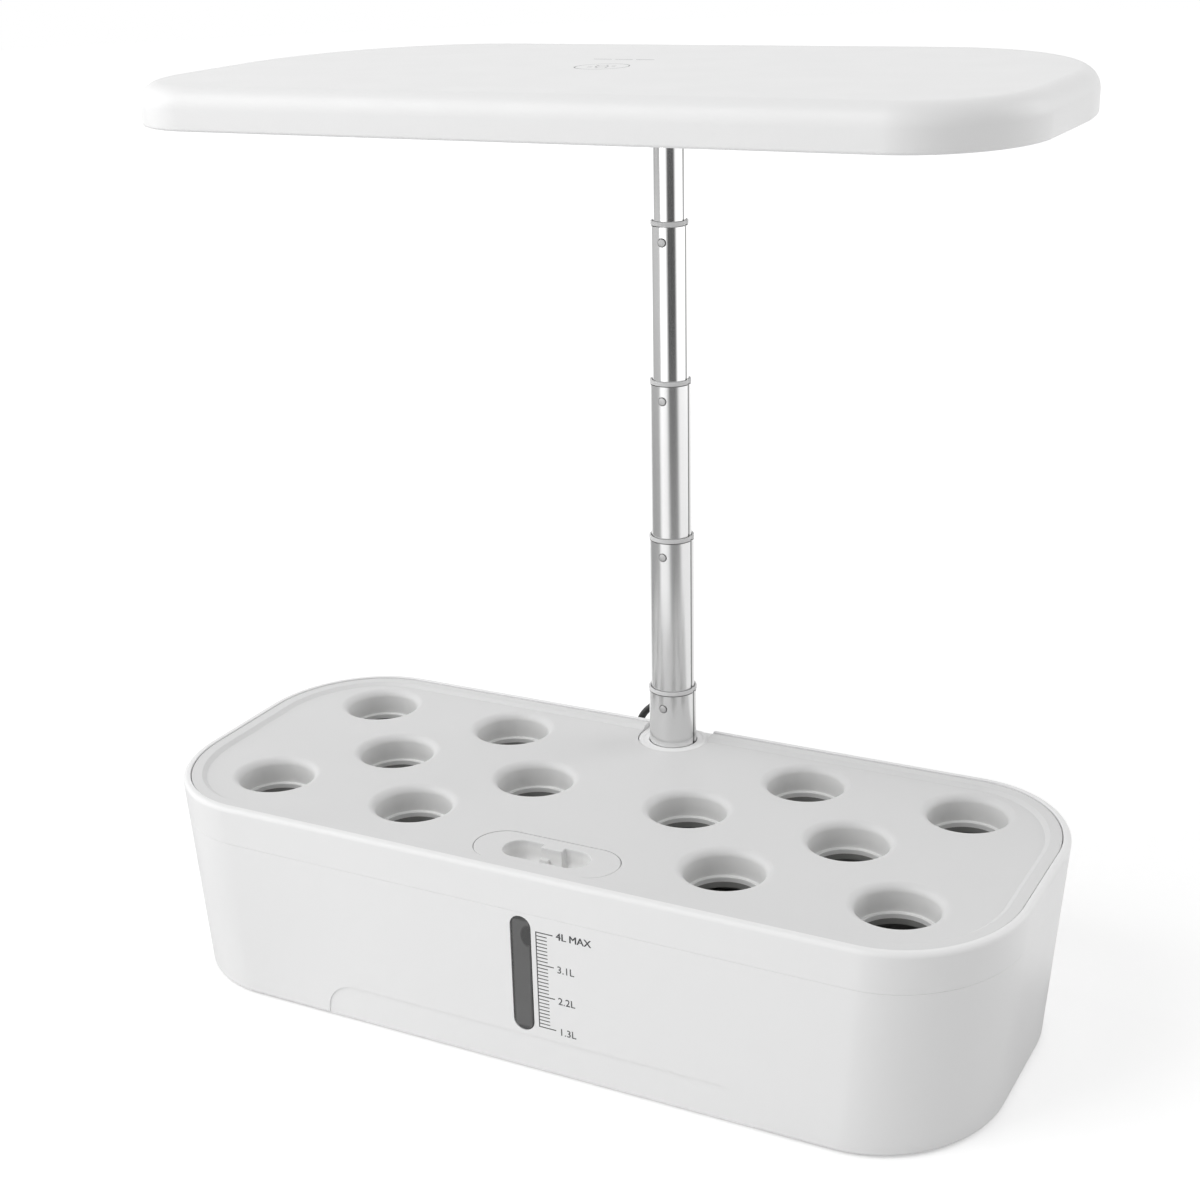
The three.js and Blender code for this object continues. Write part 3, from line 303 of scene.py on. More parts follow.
@dataclass(frozen=True)
class PrintedTank(MouldedPlastic):
    """The tank's plastic, with painted shade over its whole inside and the litre scale printed beside its window."""

    ink: Color = (0.02, 0.021, 0.022)
    # painted shade: the dark colour of the tank's inside, which stands for the shade in there
    inner: Color = (0.22, 0.22, 0.215)
    line_x: float = 9.3
    low: float = 23.15
    pitch: float = 1.691
    ticks: int = 28
    short: float = 5.1
    long: float = 7.9
    thickness: float = 0.5

    @staticmethod
    def inside(x: Socket, y: Socket, z: Socket) -> Socket:
        """Return 1 behind the outer skin and above the floor, and 0 outside."""
        plan = TANK_PLAN
        long, deep = plan.rear_corner
        drop = (z / MM * -1 + plan.top) / plan.height
        end = (x.size() / MM + drop * plan.end_draft - (plan.half_length - long)) / long
        side = (y.size() / MM + drop * plan.side_draft - (plan.back - deep)) / deep
        end = end.larger(0.0)
        side = side.larger(0.0)
        return ((end * end + side * side).root() < 0.978) * (z > 3.5 * MM)

    def make(self) -> bpy.types.Material:
        """Return the material."""
        graph = Graph(self.name)
        place = graph.place()
        x, y, z = graph.axes(graph.place(at(0, 0, 0)))
        half = self.thickness / 2 * MM
        start = self.line_x * MM
        top = self.low + self.pitch * (self.ticks - 1)
        upright = (x - start).size() < half
        upright = upright * z.within(self.low * MM - half, top * MM + half)
        phase = (z - (self.low - self.pitch / 2) * MM).wrapped(self.pitch * MM) - self.pitch / 2 * MM
        rows = (phase.size() < half * 0.9) * z.within((self.low - 0.5) * MM, (top + 0.5) * MM)
        phase_long = (z - (self.low - self.pitch * 4.5) * MM).wrapped(self.pitch * 9 * MM) - self.pitch * 4.5 * MM
        long_rows = (phase_long.size() < half) * z.within((self.low - 0.5) * MM, (top + 0.5) * MM)
        marks = rows * x.within(start, start + self.short * MM)
        marks = marks.larger(long_rows * x.within(start, start + self.long * MM))
        marks = marks.larger(upright) * (y < -80 * MM)
        color = graph.blend(marks, self.tint(graph, place), self.ink)
        # painted shade: behind the outer skin and above the floor, the tank is painted dark
        color = graph.blend(self.inside(x, y, z), color, self.inner)
        return graph.principled(Base_Color=color, **self.surface(graph, place))


@dataclass(frozen=True)
class DeckPlastic(MouldedPlastic):
    """The deck's plastic with painted light, a paler colour that lifts the shade in its hollows, and painted shade, a
    dark colour below the wells' ledges.
    """

    # painted light: the paler colour of the hollows
    hollow: Color = (0.79, 0.79, 0.785)
    # painted shade: the dark colour below the wells' ledges
    inner: Color = (0.25, 0.25, 0.243)
    ledge: float = 77.8

    def make(self) -> bpy.types.Material:
        """Return the material."""
        graph = Graph(self.name)
        place = graph.place()
        _, _, z = graph.axes(place)
        # painted light: the hollows are painted paler to lift their shade
        painted_light_mask = z.ramp((FIELD_Z - 3.5) * MM, (FIELD_Z - 1) * MM, 1.0, 0.0)
        shell = graph.blend(painted_light_mask, self.tint(graph, place), self.hollow)
        # painted shade: everything below the ledges is painted dark
        color = graph.blend(z < self.ledge * MM, shell, self.inner)
        return graph.principled(Base_Color=color, **self.surface(graph, place))


@dataclass(frozen=True)
class TouchTop(MouldedPlastic):
    """The lamp's plastic with a sun in a ring and three dashes printed on its top."""

    ink: Color = (0.12, 0.12, 0.125)
    centre: tuple[float, float] = (-8.0, 26.5)
    ring: float = 11.0
    sun: float = 2.5
    line: float = 0.55

    def make(self) -> bpy.types.Material:
        """Return the material."""
        graph = Graph(self.name)
        place = graph.place()
        offset = graph.place(at(self.centre[0], self.centre[1], 0))
        x, y, _ = graph.axes(offset)
        _, _, z = graph.axes(place)
        reach = (x * x + y * y).root()
        ring = (reach - self.ring * MM).size() < self.line / 2 * MM
        disc = (reach - self.sun * MM).size() < self.line / 2 * MM
        spoke = (y.heading(x) + math.pi / 8).wrapped(math.pi / 4) - math.pi / 8
        rays = ((spoke.size() * reach) < self.line / 2 * MM) * reach.within(4.2 * MM, 6.2 * MM)
        dash_x, dash_y, _ = graph.axes(graph.place(at(-12.4, 55.4, 0)))
        dash = (dash_x + 14.55 * MM).wrapped(9.7 * MM) - 4.85 * MM
        dashes = (dash.size() < 4.1 * MM) * (dash_x.size() < 14.4 * MM) * (dash_y.size() < 0.45 * MM)
        marks = ring.larger(disc).larger(rays).larger(dashes) * (z > 0.3985)
        color = graph.blend(marks, self.tint(graph, place), self.ink)
        return graph.principled(Base_Color=color, **self.surface(graph, place))


@dataclass(frozen=True)
class PolishedMetal:
    """Plated or drawn metal with faint lengthwise drawing marks."""

    name: str
    color: Color
    roughness: float = 0.12
    spread: float = 0.04
    stretch: Point = (900.0, 900.0, 20.0)

    def tint(self, graph: Graph, place: Socket) -> Socket:
        """Return the metal's own colour under a faint haze."""
        dull = tuple(c * 0.94 for c in self.color)
        return graph.blend(graph.noise(place, 60.0, 2.0), dull, self.color)

    def make(self) -> bpy.types.Material:
        """Return the material."""
        graph = Graph(self.name)
        place = graph.place()
        mapping = graph.node("ShaderNodeMapping", None, Vector=place, Scale=self.stretch)
        drawn = graph.noise(graph.out(mapping), 1.0, 3.0, 0.6)
        roughness = drawn.ramp(0.3, 0.7, self.roughness - self.spread / 2, self.roughness + self.spread / 2)
        return graph.principled(
            Base_Color=self.tint(graph, place),
            Metallic=1.0,
            Roughness=roughness,
            Normal=graph.bump(drawn, 0.000004, 0.6),
        )


@dataclass(frozen=True)
class TubeMetal(PolishedMetal):
    """Tube metal with painted shade along the bottom of its key groove."""

    groove: float = 1.0

    def tint(self, graph: Graph, place: Socket) -> Socket:
        """Return the metal's colour under its haze, with painted shade in the groove."""
        x, y, _ = graph.axes(graph.place(at(0, POLE_Y, 0)))
        arc = y.heading(x).size() * (x * x + y * y).root()
        # painted shade: the groove is painted at a quarter of the metal's colour
        dull = tuple(c * 0.25 for c in self.color)
        return graph.blend(arc.ramp(self.groove * 0.4 * MM, self.groove * MM), dull, super().tint(graph, place))


@dataclass(frozen=True)
class SoftRubber:
    """Cord jacket, feet and cups: dark, slightly sheened and dusty."""

    name: str
    color: Color
    roughness: float = 0.5

    def make(self) -> bpy.types.Material:
        """Return the material."""
        graph = Graph(self.name)
        place = graph.place()
        dust = graph.noise(place, 120.0, 4.0, 0.6)
        pale = tuple(min(1.0, c * 1.35 + 0.004) for c in self.color)
        grain = graph.noise(place, 3200.0, 2.0)
        return graph.principled(
            Base_Color=graph.blend(dust.ramp(0.45, 0.8), self.color, pale),
            Roughness=dust.ramp(0.3, 0.7, self.roughness - 0.07, self.roughness + 0.08),
            Normal=graph.bump(grain, 0.00002),
        )


@dataclass(frozen=True)
class PaintedShadeWindow:
    """Clear plastic insert drawn as opaque colour: painted shade stands for the dark tank seen through it, darkest at
    its rim, with a painted shadow patch near its top.
    """

    name: str
    # painted shade: the window's colours, darkest at its rim, stand for the dark tank seen through it
    rim: Color
    middle: Color

    def make(self) -> bpy.types.Material:
        """Return the material."""
        graph = Graph(self.name)
        place = graph.place(at(1.9, 0, 47.1))
        x, _, z = graph.axes(place)
        across = (x / (4.7 * MM)).size()
        along = (z / (27.2 * MM)).size()
        # painted shade: darker towards the window's rim
        edge = across.larger(along * along * along).ramp(0.74, 0.92)
        cloud = graph.noise(place, 30.0, 2.0) * 0.3
        clear = graph.blend(cloud, self.middle, self.rim)
        # painted shadow: a dark patch near the window's top, right of middle
        shadow_patch_x = (x - 3.2 * MM) / (3.6 * MM)
        shadow_patch_z = (z - 18.5 * MM) / (5.4 * MM)
        painted_shadow_patch = (shadow_patch_x * shadow_patch_x + shadow_patch_z * shadow_patch_z).ramp(0.5, 1.1, 1.0, 0.0)
        color = graph.blend(edge.larger(painted_shadow_patch), clear, self.rim)
        return graph.principled(Base_Color=color, Roughness=0.12, Coat_Weight=0.4)


@dataclass(frozen=True)
class CircuitBoard:
    """Solder mask with tracks and pads."""

    name: str
    mask: Color
    track: Color

    def make(self) -> bpy.types.Material:
        """Return the material."""
        graph = Graph(self.name)
        place = graph.place()
        x, y, _ = graph.axes(place)
        lanes = (x.wrapped(0.0026) < 0.0006).larger(y.wrapped(0.0041) < 0.0006)
        patches = graph.noise(place, 130.0, 1.0) > 0.55
        color = graph.blend(lanes * patches, self.mask, self.track)
        rough = graph.noise(place, 300.0, 2.0).ramp(0.3, 0.7, 0.3, 0.42)
        return graph.principled(Base_Color=color, Roughness=rough)


class Finish(Enum):
    """Every finish of the garden."""

    TANK = PrintedTank("tank plastic with litre scale", grey(239), roughness=0.4)
    RIM = MouldedPlastic("rim plastic", grey(239), roughness=0.4)
    DECK = DeckPlastic("deck plastic", grey(220), roughness=0.48)
    LAMP = TouchTop("lamp plastic with touch marks", grey(236), roughness=0.4)
    PANEL = MouldedPlastic("lamp panel plastic", grey(228), roughness=0.45)
    COLLAR = MouldedPlastic("stop ring plastic", grey(216), roughness=0.45, mottle=0.04)
    BLACK = MouldedPlastic("black moulded plastic", grey(34), roughness=0.45, mottle=0.2)
    IMPELLER = MouldedPlastic("impeller plastic", (0.03, 0.09, 0.24), roughness=0.4, mottle=0.15)
    INK = MouldedPlastic("printed ink", (0.045, 0.047, 0.05), roughness=0.5, mottle=0.1)
    CHROME = TubeMetal("polished pole chrome", grey(244), roughness=0.13, spread=0.04)
    BRUSHED = TubeMetal("brushed pole chrome", grey(227), roughness=0.23, spread=0.03)
    SATIN = TubeMetal("satin pole chrome", grey(226), roughness=0.24, spread=0.03)
    KNOB = PolishedMetal("lock button steel", grey(188), roughness=0.5, spread=0.06)
    SPRING = PolishedMetal("leaf spring steel", grey(176), roughness=0.3, spread=0.1)
    SCREW = PolishedMetal("screw steel", grey(168), roughness=0.32, spread=0.1, stretch=(500.0, 500.0, 500.0))
    BRASS = PolishedMetal("plug brass", (0.62, 0.47, 0.2), roughness=0.25, spread=0.08)
    CORD = SoftRubber("cord jacket", grey(30), roughness=0.4)
    FOOT = SoftRubber("foot rubber", grey(52), roughness=0.7)
    # painted shade: the window's dark rim and middle
    WINDOW = PaintedShadeWindow("window plastic", grey(36), grey(88))
    LIGHTS = CircuitBoard("light board", grey(232), grey(226))
    PHOSPHOR = MouldedPlastic("yellow light pane", (0.72, 0.5, 0.08), roughness=0.25, mottle=0.1)
    BOARD = CircuitBoard("green board", (0.02, 0.12, 0.04), (0.06, 0.25, 0.08))

    def material(self) -> bpy.types.Material:
        """Return the material, made on first use."""
        known = bpy.data.materials.get(self.value.name)
        return known or self.value.make()


# Bench


@dataclass(frozen=True)
class Plan:
    """Rounded outline with quarter-ellipse corners that drafts inward as it goes down, in millimetres."""

    half_length: float
    front: float
    back: float
    front_corner: tuple[float, float]
    rear_corner: tuple[float, float]
    top: float = 0.0
    height: float = 1.0
    end_draft: float = 0.0
    side_draft: float = 0.0

    def quadrants(self, inset: float, z: float) -> list[tuple[int, int, float, float, float, float]]:
        """Return side signs, corner centre and corner radii of the four corners at a height."""
        drop = (self.top - z) / self.height
        out = []
        for side_y, y, (long, deep) in ((1, self.back, self.rear_corner), (-1, self.front, self.front_corner)):
            for side_x in (1, -1):
                centre_x = side_x * (self.half_length - long - self.end_draft * drop)
                centre_y = y - side_y * (deep + self.side_draft * drop)
                out.append((side_x, side_y, centre_x, centre_y, long - inset, deep - inset))
        return out


def round_top(radius: float, top: float, steps: int = 8, inset: float = 0.0) -> Profile:
    """Return a rounded upper edge as [inset, height] points, listed upward."""
    turns = [i / steps * QUARTER for i in range(steps + 1)]
    return [(inset + radius * (1 - math.cos(a)), top - radius * (1 - math.sin(a))) for a in turns]


def round_bottom(radius: float, bottom: float, steps: int = 4, inset: float = 0.0) -> Profile:
    """Return a rounded lower edge as [inset, height] points, listed upward."""
    return [(i, bottom - z) for i, z in reversed(round_top(radius, 0.0, steps, inset))]


class Bench:
    """Modelling moves on the active object, in millimetres of the tank's frame."""

    @staticmethod
    def clear() -> None:
        """Deselect everything, also what the frame leaves selected."""
        if bpy.context.object and bpy.context.object.mode != "OBJECT":
            bpy.ops.object.mode_set(mode="OBJECT")
        for item in bpy.context.view_layer.objects:
            item.select_set(False)

    @classmethod
    def only(cls, piece: bpy.types.Object) -> None:
        """Select one object alone and make it active."""
        cls.clear()
        piece.select_set(True)
        bpy.context.view_layer.objects.active = piece

    @classmethod
    @contextmanager
    def editing(cls, piece: bpy.types.Object) -> Iterator[None]:
        """Hold a piece in edit mode with vertices as the selection."""
        cls.only(piece)
        bpy.ops.object.mode_set(mode="EDIT")
        bpy.ops.mesh.select_mode(type="VERT")
        yield
        bpy.ops.object.mode_set(mode="OBJECT")

    @staticmethod
    def pick(piece: bpy.types.Object, test: Callable[[bmesh.types.BMVert], bool]) -> None:
        """Select in edit mode the vertices that pass a test, and what lies between them."""
        mesh = bmesh.from_edit_mesh(piece.data)
        for part in (mesh.faces, mesh.edges, mesh.verts):
            for item in part:
                item.select = False
        for vertex in mesh.verts:
            if test(vertex):
                vertex.select = True
        mesh.select_flush_mode()
        bmesh.update_edit_mesh(piece.data)

    @staticmethod
    def picked(piece: bpy.types.Object) -> list[int]:
        """Return the indices of the selected vertices in edit mode."""
        mesh = bmesh.from_edit_mesh(piece.data)
        mesh.verts.index_update()
        return [v.index for v in mesh.verts if v.select]

    @classmethod
    def ring(cls, name: str, count: int, place: Vector) -> bpy.types.Object:
        """Return a unit ring of vertices that stand half a step off the axes, round a place."""
        cls.clear()
        bpy.ops.mesh.primitive_circle_add(vertices=count, radius=1.0, fill_type="NOTHING", location=(0, 0, 0))
        piece = bpy.context.object
        piece.name = piece.data.name = name
        with cls.editing(piece):
            bpy.ops.mesh.select_all(action="SELECT")
            first = bmesh.from_edit_mesh(piece.data).verts
            first.ensure_lookup_table()
            turn = math.atan2(first[0].co.y, first[0].co.x) % (2 * math.pi / count)
            half = math.pi / count
            bpy.ops.transform.rotate(value=turn - half, orient_axis="Z", center_override=(0, 0, 0))
            bpy.ops.transform.translate(value=place)
        return piece

    @classmethod
    def loft(cls, name: str, plan: Plan, profile: Profile, closed: bool = False, steps: int = 20) -> bpy.types.Object:
        """Raise a rounded plan through a list of [inset, height] points.

        Args:
            name: the piece's name.
            plan: the outline.
            profile: insets and heights, listed upward or round a wall.
            closed: whether the last ring joins the first, as on a hollow wall.
            steps: the number of steps in each corner.

        Returns:
            The solid or closed wall.
        """
        piece = cls.ring(name, 4 * (steps + 1), Vector((0, 0, 0)))
        with cls.editing(piece):
            bpy.ops.mesh.select_all(action="SELECT")
            mesh = bmesh.from_edit_mesh(piece.data)
            rings = {(sx, sy): [v.index for v in mesh.verts if v.co.x * sx > 0 and v.co.y * sy > 0]
                     for sy in (1, -1) for sx in (1, -1)}
            first = sorted(i for ring in rings.values() for i in ring)
            before: list | None = None
            count = len(first)
            for level, (inset, z) in enumerate(profile):
                if level:
                    bpy.ops.mesh.extrude_region_move(TRANSFORM_OT_translate={"value": (0, 0, 0)})
                    mesh = bmesh.from_edit_mesh(piece.data)
                    mesh.verts.ensure_lookup_table()
                    fresh = {i for i in cls.picked(piece)}
                    mesh.verts.ensure_lookup_table()
                    last = {}
                    for key, ring in rings.items():
                        follow = []
                        for i in ring:
                            twin = [e.other_vert(mesh.verts[i]).index for e in mesh.verts[i].link_edges]
                            follow.append(next(k for k in twin if k in fresh and k not in ring))
                        last[key] = follow
                    rings = last
                now = plan.quadrants(inset, z)
                for corner, (sx, sy, cx, cy, long, deep) in enumerate(now):
                    chosen = set(rings[(sx, sy)])
                    cls.pick(piece, lambda v: v.index in chosen)
                    if before is None:
                        bpy.ops.transform.resize(value=(long * MM, deep * MM, 1), center_override=(0, 0, 0))
                        bpy.ops.transform.translate(value=at(cx, cy, z))
                        continue
                    _, _, old_x, old_y, old_long, old_deep = before[corner]
                    centre = at(old_x, old_y, before_z)
                    ratio = (long / old_long, deep / old_deep, 1)
                    if abs(ratio[0] - 1) > 1e-9:
                        bpy.ops.transform.resize(value=ratio, center_override=centre)
                    bpy.ops.transform.translate(value=at(cx, cy, z) - centre)
                before, before_z = now, z
                chosen = {i for ring in rings.values() for i in ring}
                cls.pick(piece, lambda v: v.index in chosen)
            ends = ({i for ring in rings.values() for i in ring}, set(first[:count]))
            if closed:
                cls.pick(piece, lambda v: v.index in ends[0] or v.index in ends[1])
                bpy.ops.mesh.bridge_edge_loops()
            else:
                for end in ends:
                    cls.pick(piece, lambda v: v.index in end)
                    bpy.ops.mesh.edge_face_add()
            bpy.ops.mesh.select_all(action="SELECT")
            bpy.ops.mesh.normals_make_consistent(inside=False)
        return piece

    @classmethod
    def revolve(
        cls, name: str, profile: Profile, place: Vector, steps: int = 48, axis: Point = (0, 0, 1), closed: bool = False
    ) -> bpy.types.Object:
        """Spin [radius, height] points about an axis.

        Args:
            name: the piece's name.
            profile: radii and heights in millimetres; a solid starts and ends on the axis.
            place: the origin of the profile in the row frame.
            steps: the number of steps round the axis.
            axis: the direction of the heights.
            closed: whether the last point joins the first, as on a ring.

        Returns:
            The turned piece.
        """
        cls.clear()
        along = Vector(axis)
        across = Vector((1, 0, 0)) if abs(along.x) < 0.5 else Vector((0, 1, 0))
        points = [place + (across * r + along * h) * MM for r, h in profile]
        if closed:
            points.append(points[0])
        bpy.ops.mesh.primitive_plane_add(size=MM, location=points[0])
        piece = bpy.context.object
        piece.name = piece.data.name = name
        cls.settle(piece)
        with cls.editing(piece):
            bpy.ops.mesh.select_all(action="SELECT")
            bpy.ops.mesh.merge(type="CENTER")
            for low, high in zip(points, points[1:]):
                bpy.ops.mesh.extrude_region_move(TRANSFORM_OT_translate={"value": high - low})
            bpy.ops.mesh.select_all(action="SELECT")
            bpy.ops.mesh.remove_doubles(threshold=2e-6)
            bpy.ops.mesh.select_all(action="SELECT")
            bpy.ops.mesh.spin(steps=steps, angle=2 * math.pi, center=place, axis=axis)
            bpy.ops.mesh.select_all(action="SELECT")
            bpy.ops.mesh.remove_doubles(threshold=2e-6)
            bpy.ops.mesh.select_all(action="SELECT")
            bpy.ops.mesh.normals_make_consistent(inside=False)
        return piece

    @classmethod
    def stadium(
        cls, name: str, size: tuple[float, float], centre: tuple[float, float], low: float, high: float, steps: int = 40
    ) -> bpy.types.Object:
        """Return an upright prism with straight sides and round ends along X."""
        length, width = size
        reach = (length - width) / 2
        return cls.prism(name, width / 2, centre, low, high, steps, [
            (lambda v, mid=at(centre[0], 0, 0).x: v.co.x > mid, (reach, 0), (1, 1)),
            (lambda v, mid=at(centre[0], 0, 0).x: v.co.x < mid, (-reach, 0), (1, 1)),
        ])

    @classmethod
    def notch(cls, name: str, half: float, low: float, high: float, back: float, steps: int = 64) -> bpy.types.Object:
        """Return a U prism round the pole's axis, open to the rear."""
        axis = (0.0, POLE_Y)
        mid = at(0, POLE_Y, 0).y
        return cls.prism(name, half, axis, low, high, steps, [
            (lambda v: v.co.y > mid, (0, back - POLE_Y), (1, 0)),
        ])

    @classmethod
    def prism(
        cls, name: str, radius: float, centre: tuple[float, float], low: float, high: float, steps: int,
        moves: Sequence[tuple[Callable, tuple[float, float], tuple[float, float]]] = (),
    ) -> bpy.types.Object:
        """Return a drum whose chosen vertices are first scaled about its centre and moved."""
        middle = at(*centre, low)
        piece = cls.ring(name, steps, Vector((0, 0, 0)))
        with cls.editing(piece):
            bpy.ops.mesh.select_all(action="SELECT")
            bpy.ops.transform.resize(value=(radius * MM, radius * MM, 1), center_override=(0, 0, 0))
            bpy.ops.transform.translate(value=middle)
            for test, (dx, dy), (sx, sy) in moves:
                cls.pick(piece, test)
                bpy.ops.transform.resize(value=(sx, sy, 1), center_override=middle)
                bpy.ops.transform.translate(value=(dx * MM, dy * MM, 0))
            bpy.ops.mesh.select_all(action="SELECT")
            bpy.ops.mesh.edge_face_add()
            bpy.ops.mesh.extrude_region_move(TRANSFORM_OT_translate={"value": (0, 0, (high - low) * MM)})
            bpy.ops.mesh.select_all(action="SELECT")
            bpy.ops.mesh.normals_make_consistent(inside=False)
        return piece

    @classmethod
    def block(cls, name: str, size: Point, centre: Vector) -> bpy.types.Object:
        """Return a box of a size in millimetres about a centre in the row frame."""
        cls.clear()
        bpy.ops.mesh.primitive_cube_add(size=1.0, location=centre)
        piece = bpy.context.object
        piece.name = piece.data.name = name
        piece.scale = tuple(s * MM for s in size)
        cls.settle(piece)
        return piece

    @classmethod
    def settle(cls, piece: bpy.types.Object) -> None:
        """Apply a piece's place so that it lies in its mesh."""
        cls.only(piece)
        bpy.ops.object.transform_apply(location=True, rotation=True, scale=True)

    @classmethod
    def modify(cls, piece: bpy.types.Object, kind: str, **settings: object) -> None:
        """Add a modifier with its settings and apply it."""
        cls.only(piece)
        modifier = piece.modifiers.new(kind.lower(), kind)
        for key, value in settings.items():
            setattr(modifier, key, value)
        bpy.ops.object.modifier_apply(modifier=modifier.name)

    @classmethod
    def boolean(cls, piece: bpy.types.Object, tool: bpy.types.Object, operation: str = "DIFFERENCE") -> None:
        """Cut, join or cross a piece with a tool, and drop the tool."""
        cls.modify(piece, "BOOLEAN", object=tool, operation=operation, solver="EXACT")
        mesh = tool.data
        bpy.data.objects.remove(tool)
        bpy.data.meshes.remove(mesh)

    @classmethod
    def cut(cls, piece: bpy.types.Object, *tools: bpy.types.Object) -> None:
        """Cut several tools out of a piece."""
        for tool in tools:
            cls.boolean(piece, tool)

    @classmethod
    def merge(cls, first: bpy.types.Object, *others: bpy.types.Object) -> bpy.types.Object:
        """Join objects into the first, with their meshes side by side."""
        cls.only(first)
        for other in others:
            other.select_set(True)
        bpy.ops.object.join()
        return first

    @classmethod
    def copy(cls, piece: bpy.types.Object, name: str, place: Matrix) -> bpy.types.Object:
        """Return a copy of a piece with a mesh of its own, moved by a matrix."""
        mesh = piece.data.copy()
        mesh.transform(place)
        twin = bpy.data.objects.new(name, mesh)
        mesh.name = name
        bpy.context.scene.collection.objects.link(twin)
        return twin

    @classmethod
    def soften(cls, piece: bpy.types.Object, width: float, segments: int = 2, angle: float = 40.0) -> None:
        """Round the sharp edges by a width in millimetres."""
        cls.modify(
            piece, "BEVEL", width=width * MM, segments=segments, limit_method="ANGLE",
            angle_limit=math.radians(angle), harden_normals=False, miter_outer="MITER_ARC", use_clamp_overlap=True,
        )

    @classmethod
    def shade(cls, piece: bpy.types.Object, angle: float = 32.0) -> None:
        """Shade smoothly up to an angle, with flat faces kept flat."""
        cls.only(piece)
        bpy.ops.object.shade_smooth_by_angle(angle=math.radians(angle))
        cls.modify(piece, "WEIGHTED_NORMAL", keep_sharp=True, weight=80)


# Shared sizes

POLE_Y = 71.8
BASE_Z = 1.0
PART_Z = 76.3
RIM_Z = 94.4
FIELD_Z = 92.3
REAR_Y = 84.5
FRONT_Y = -84.5
TANK_PLAN = Plan(198.85, FRONT_Y, REAR_Y, (52.5, 59.5), (52.5, 59.5), RIM_Z, 93.4, 6.5, 0.8)
LAMP_PLAN = Plan(
    186.7, POLE_Y - 145.6, POLE_Y + 58.9, (44.0, 52.0), (86.0, 108.0),
)


class Body(Enum):
    """The frame's moving bodies."""

    BASE = "base"
    DECK = "deck"
    CAP = "cap"
    LOWER = "stage_lower"
    MIDDLE = "stage_middle"
    UPPER = "stage_upper"
    TOP = "stage_top"


def dress(piece: bpy.types.Object, finish: Finish, body: Body, slot: str, *nodes: str) -> bpy.types.Object:
    """Give a new piece its finish and its body, and let it stand for CAD nodes.

    Args:
        piece: the new piece.
        finish: its finish.
        body: the body that it rides on.
        slot: the record's material slot, not used.
        nodes: the CAD nodes that it stands for.

    Returns:
        The piece.
    """
    piece.data.materials.clear()
    piece.data.materials.append(finish.material())
    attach(piece, body.value)
    if nodes:
        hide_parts(*nodes)
    LOG.info("%s: %s, for %s", piece.name, finish.value.name, ", ".join(nodes) or "detail")
    return piece


def coat(frame: dict, finish: Finish, *nodes: str) -> None:
    """Give CAD nodes that are kept a finish."""
    for node in nodes:
        item = frame["nodes"][node]
        item.data.materials.clear()
        item.data.materials.append(finish.material())
        LOG.info("%s keeps its solid in %s", node, finish.value.name)


# Camera, light and floor


@dataclass(frozen=True)
class Softbox:
    """One large soft lamp."""

    name: str
    place: Point
    aim: Point
    size: tuple[float, float]
    power: float

    def light(self) -> None:
        """Add the lamp, aimed at its point and hidden from the camera."""
        data = bpy.data.lights.new(self.name, "AREA")
        data.shape = "RECTANGLE"
        data.size, data.size_y = self.size
        data.energy = self.power
        lamp = bpy.data.objects.new(self.name, data)
        turn = (Vector(self.aim) - Vector(self.place)).to_track_quat("-Z", "Y").to_matrix().to_4x4()
        lamp.matrix_world = Matrix.Translation(self.place) @ turn
        lamp.visible_camera = False
        bpy.context.scene.collection.objects.link(lamp)


@dataclass(frozen=True)
class Card:
    """A dark card flat on the floor, spread like a fan, which only polished metal sees.

    It opens from a tip beside the pole towards a heading in degrees, from +X towards +Y. It is full up to
    the inner angle on each side of that heading and gone at the outer one, and as dark as near at the
    first reach from its tip and as far at the second.
    """

    tip: Point
    heading: float
    inner: float
    outer: float
    near: float
    far: float
    reach: tuple[float, float]

    def shade(self, graph: Graph) -> Socket:
        """Return how much of the floor's light the card takes at a point, from 0 to 1."""
        x, y, _ = graph.axes(graph.place(Vector(self.tip)))
        distance = (x * x + y * y).root()
        turned = y.heading(x) - (math.radians(self.heading) - math.pi)
        apart = (turned.wrapped(2 * math.pi) - math.pi).size()
        across = apart.ramp(math.radians(self.inner), math.radians(self.outer), 1.0, 0.0)
        return across * distance.ramp(self.reach[0], self.reach[1], self.near, self.far)


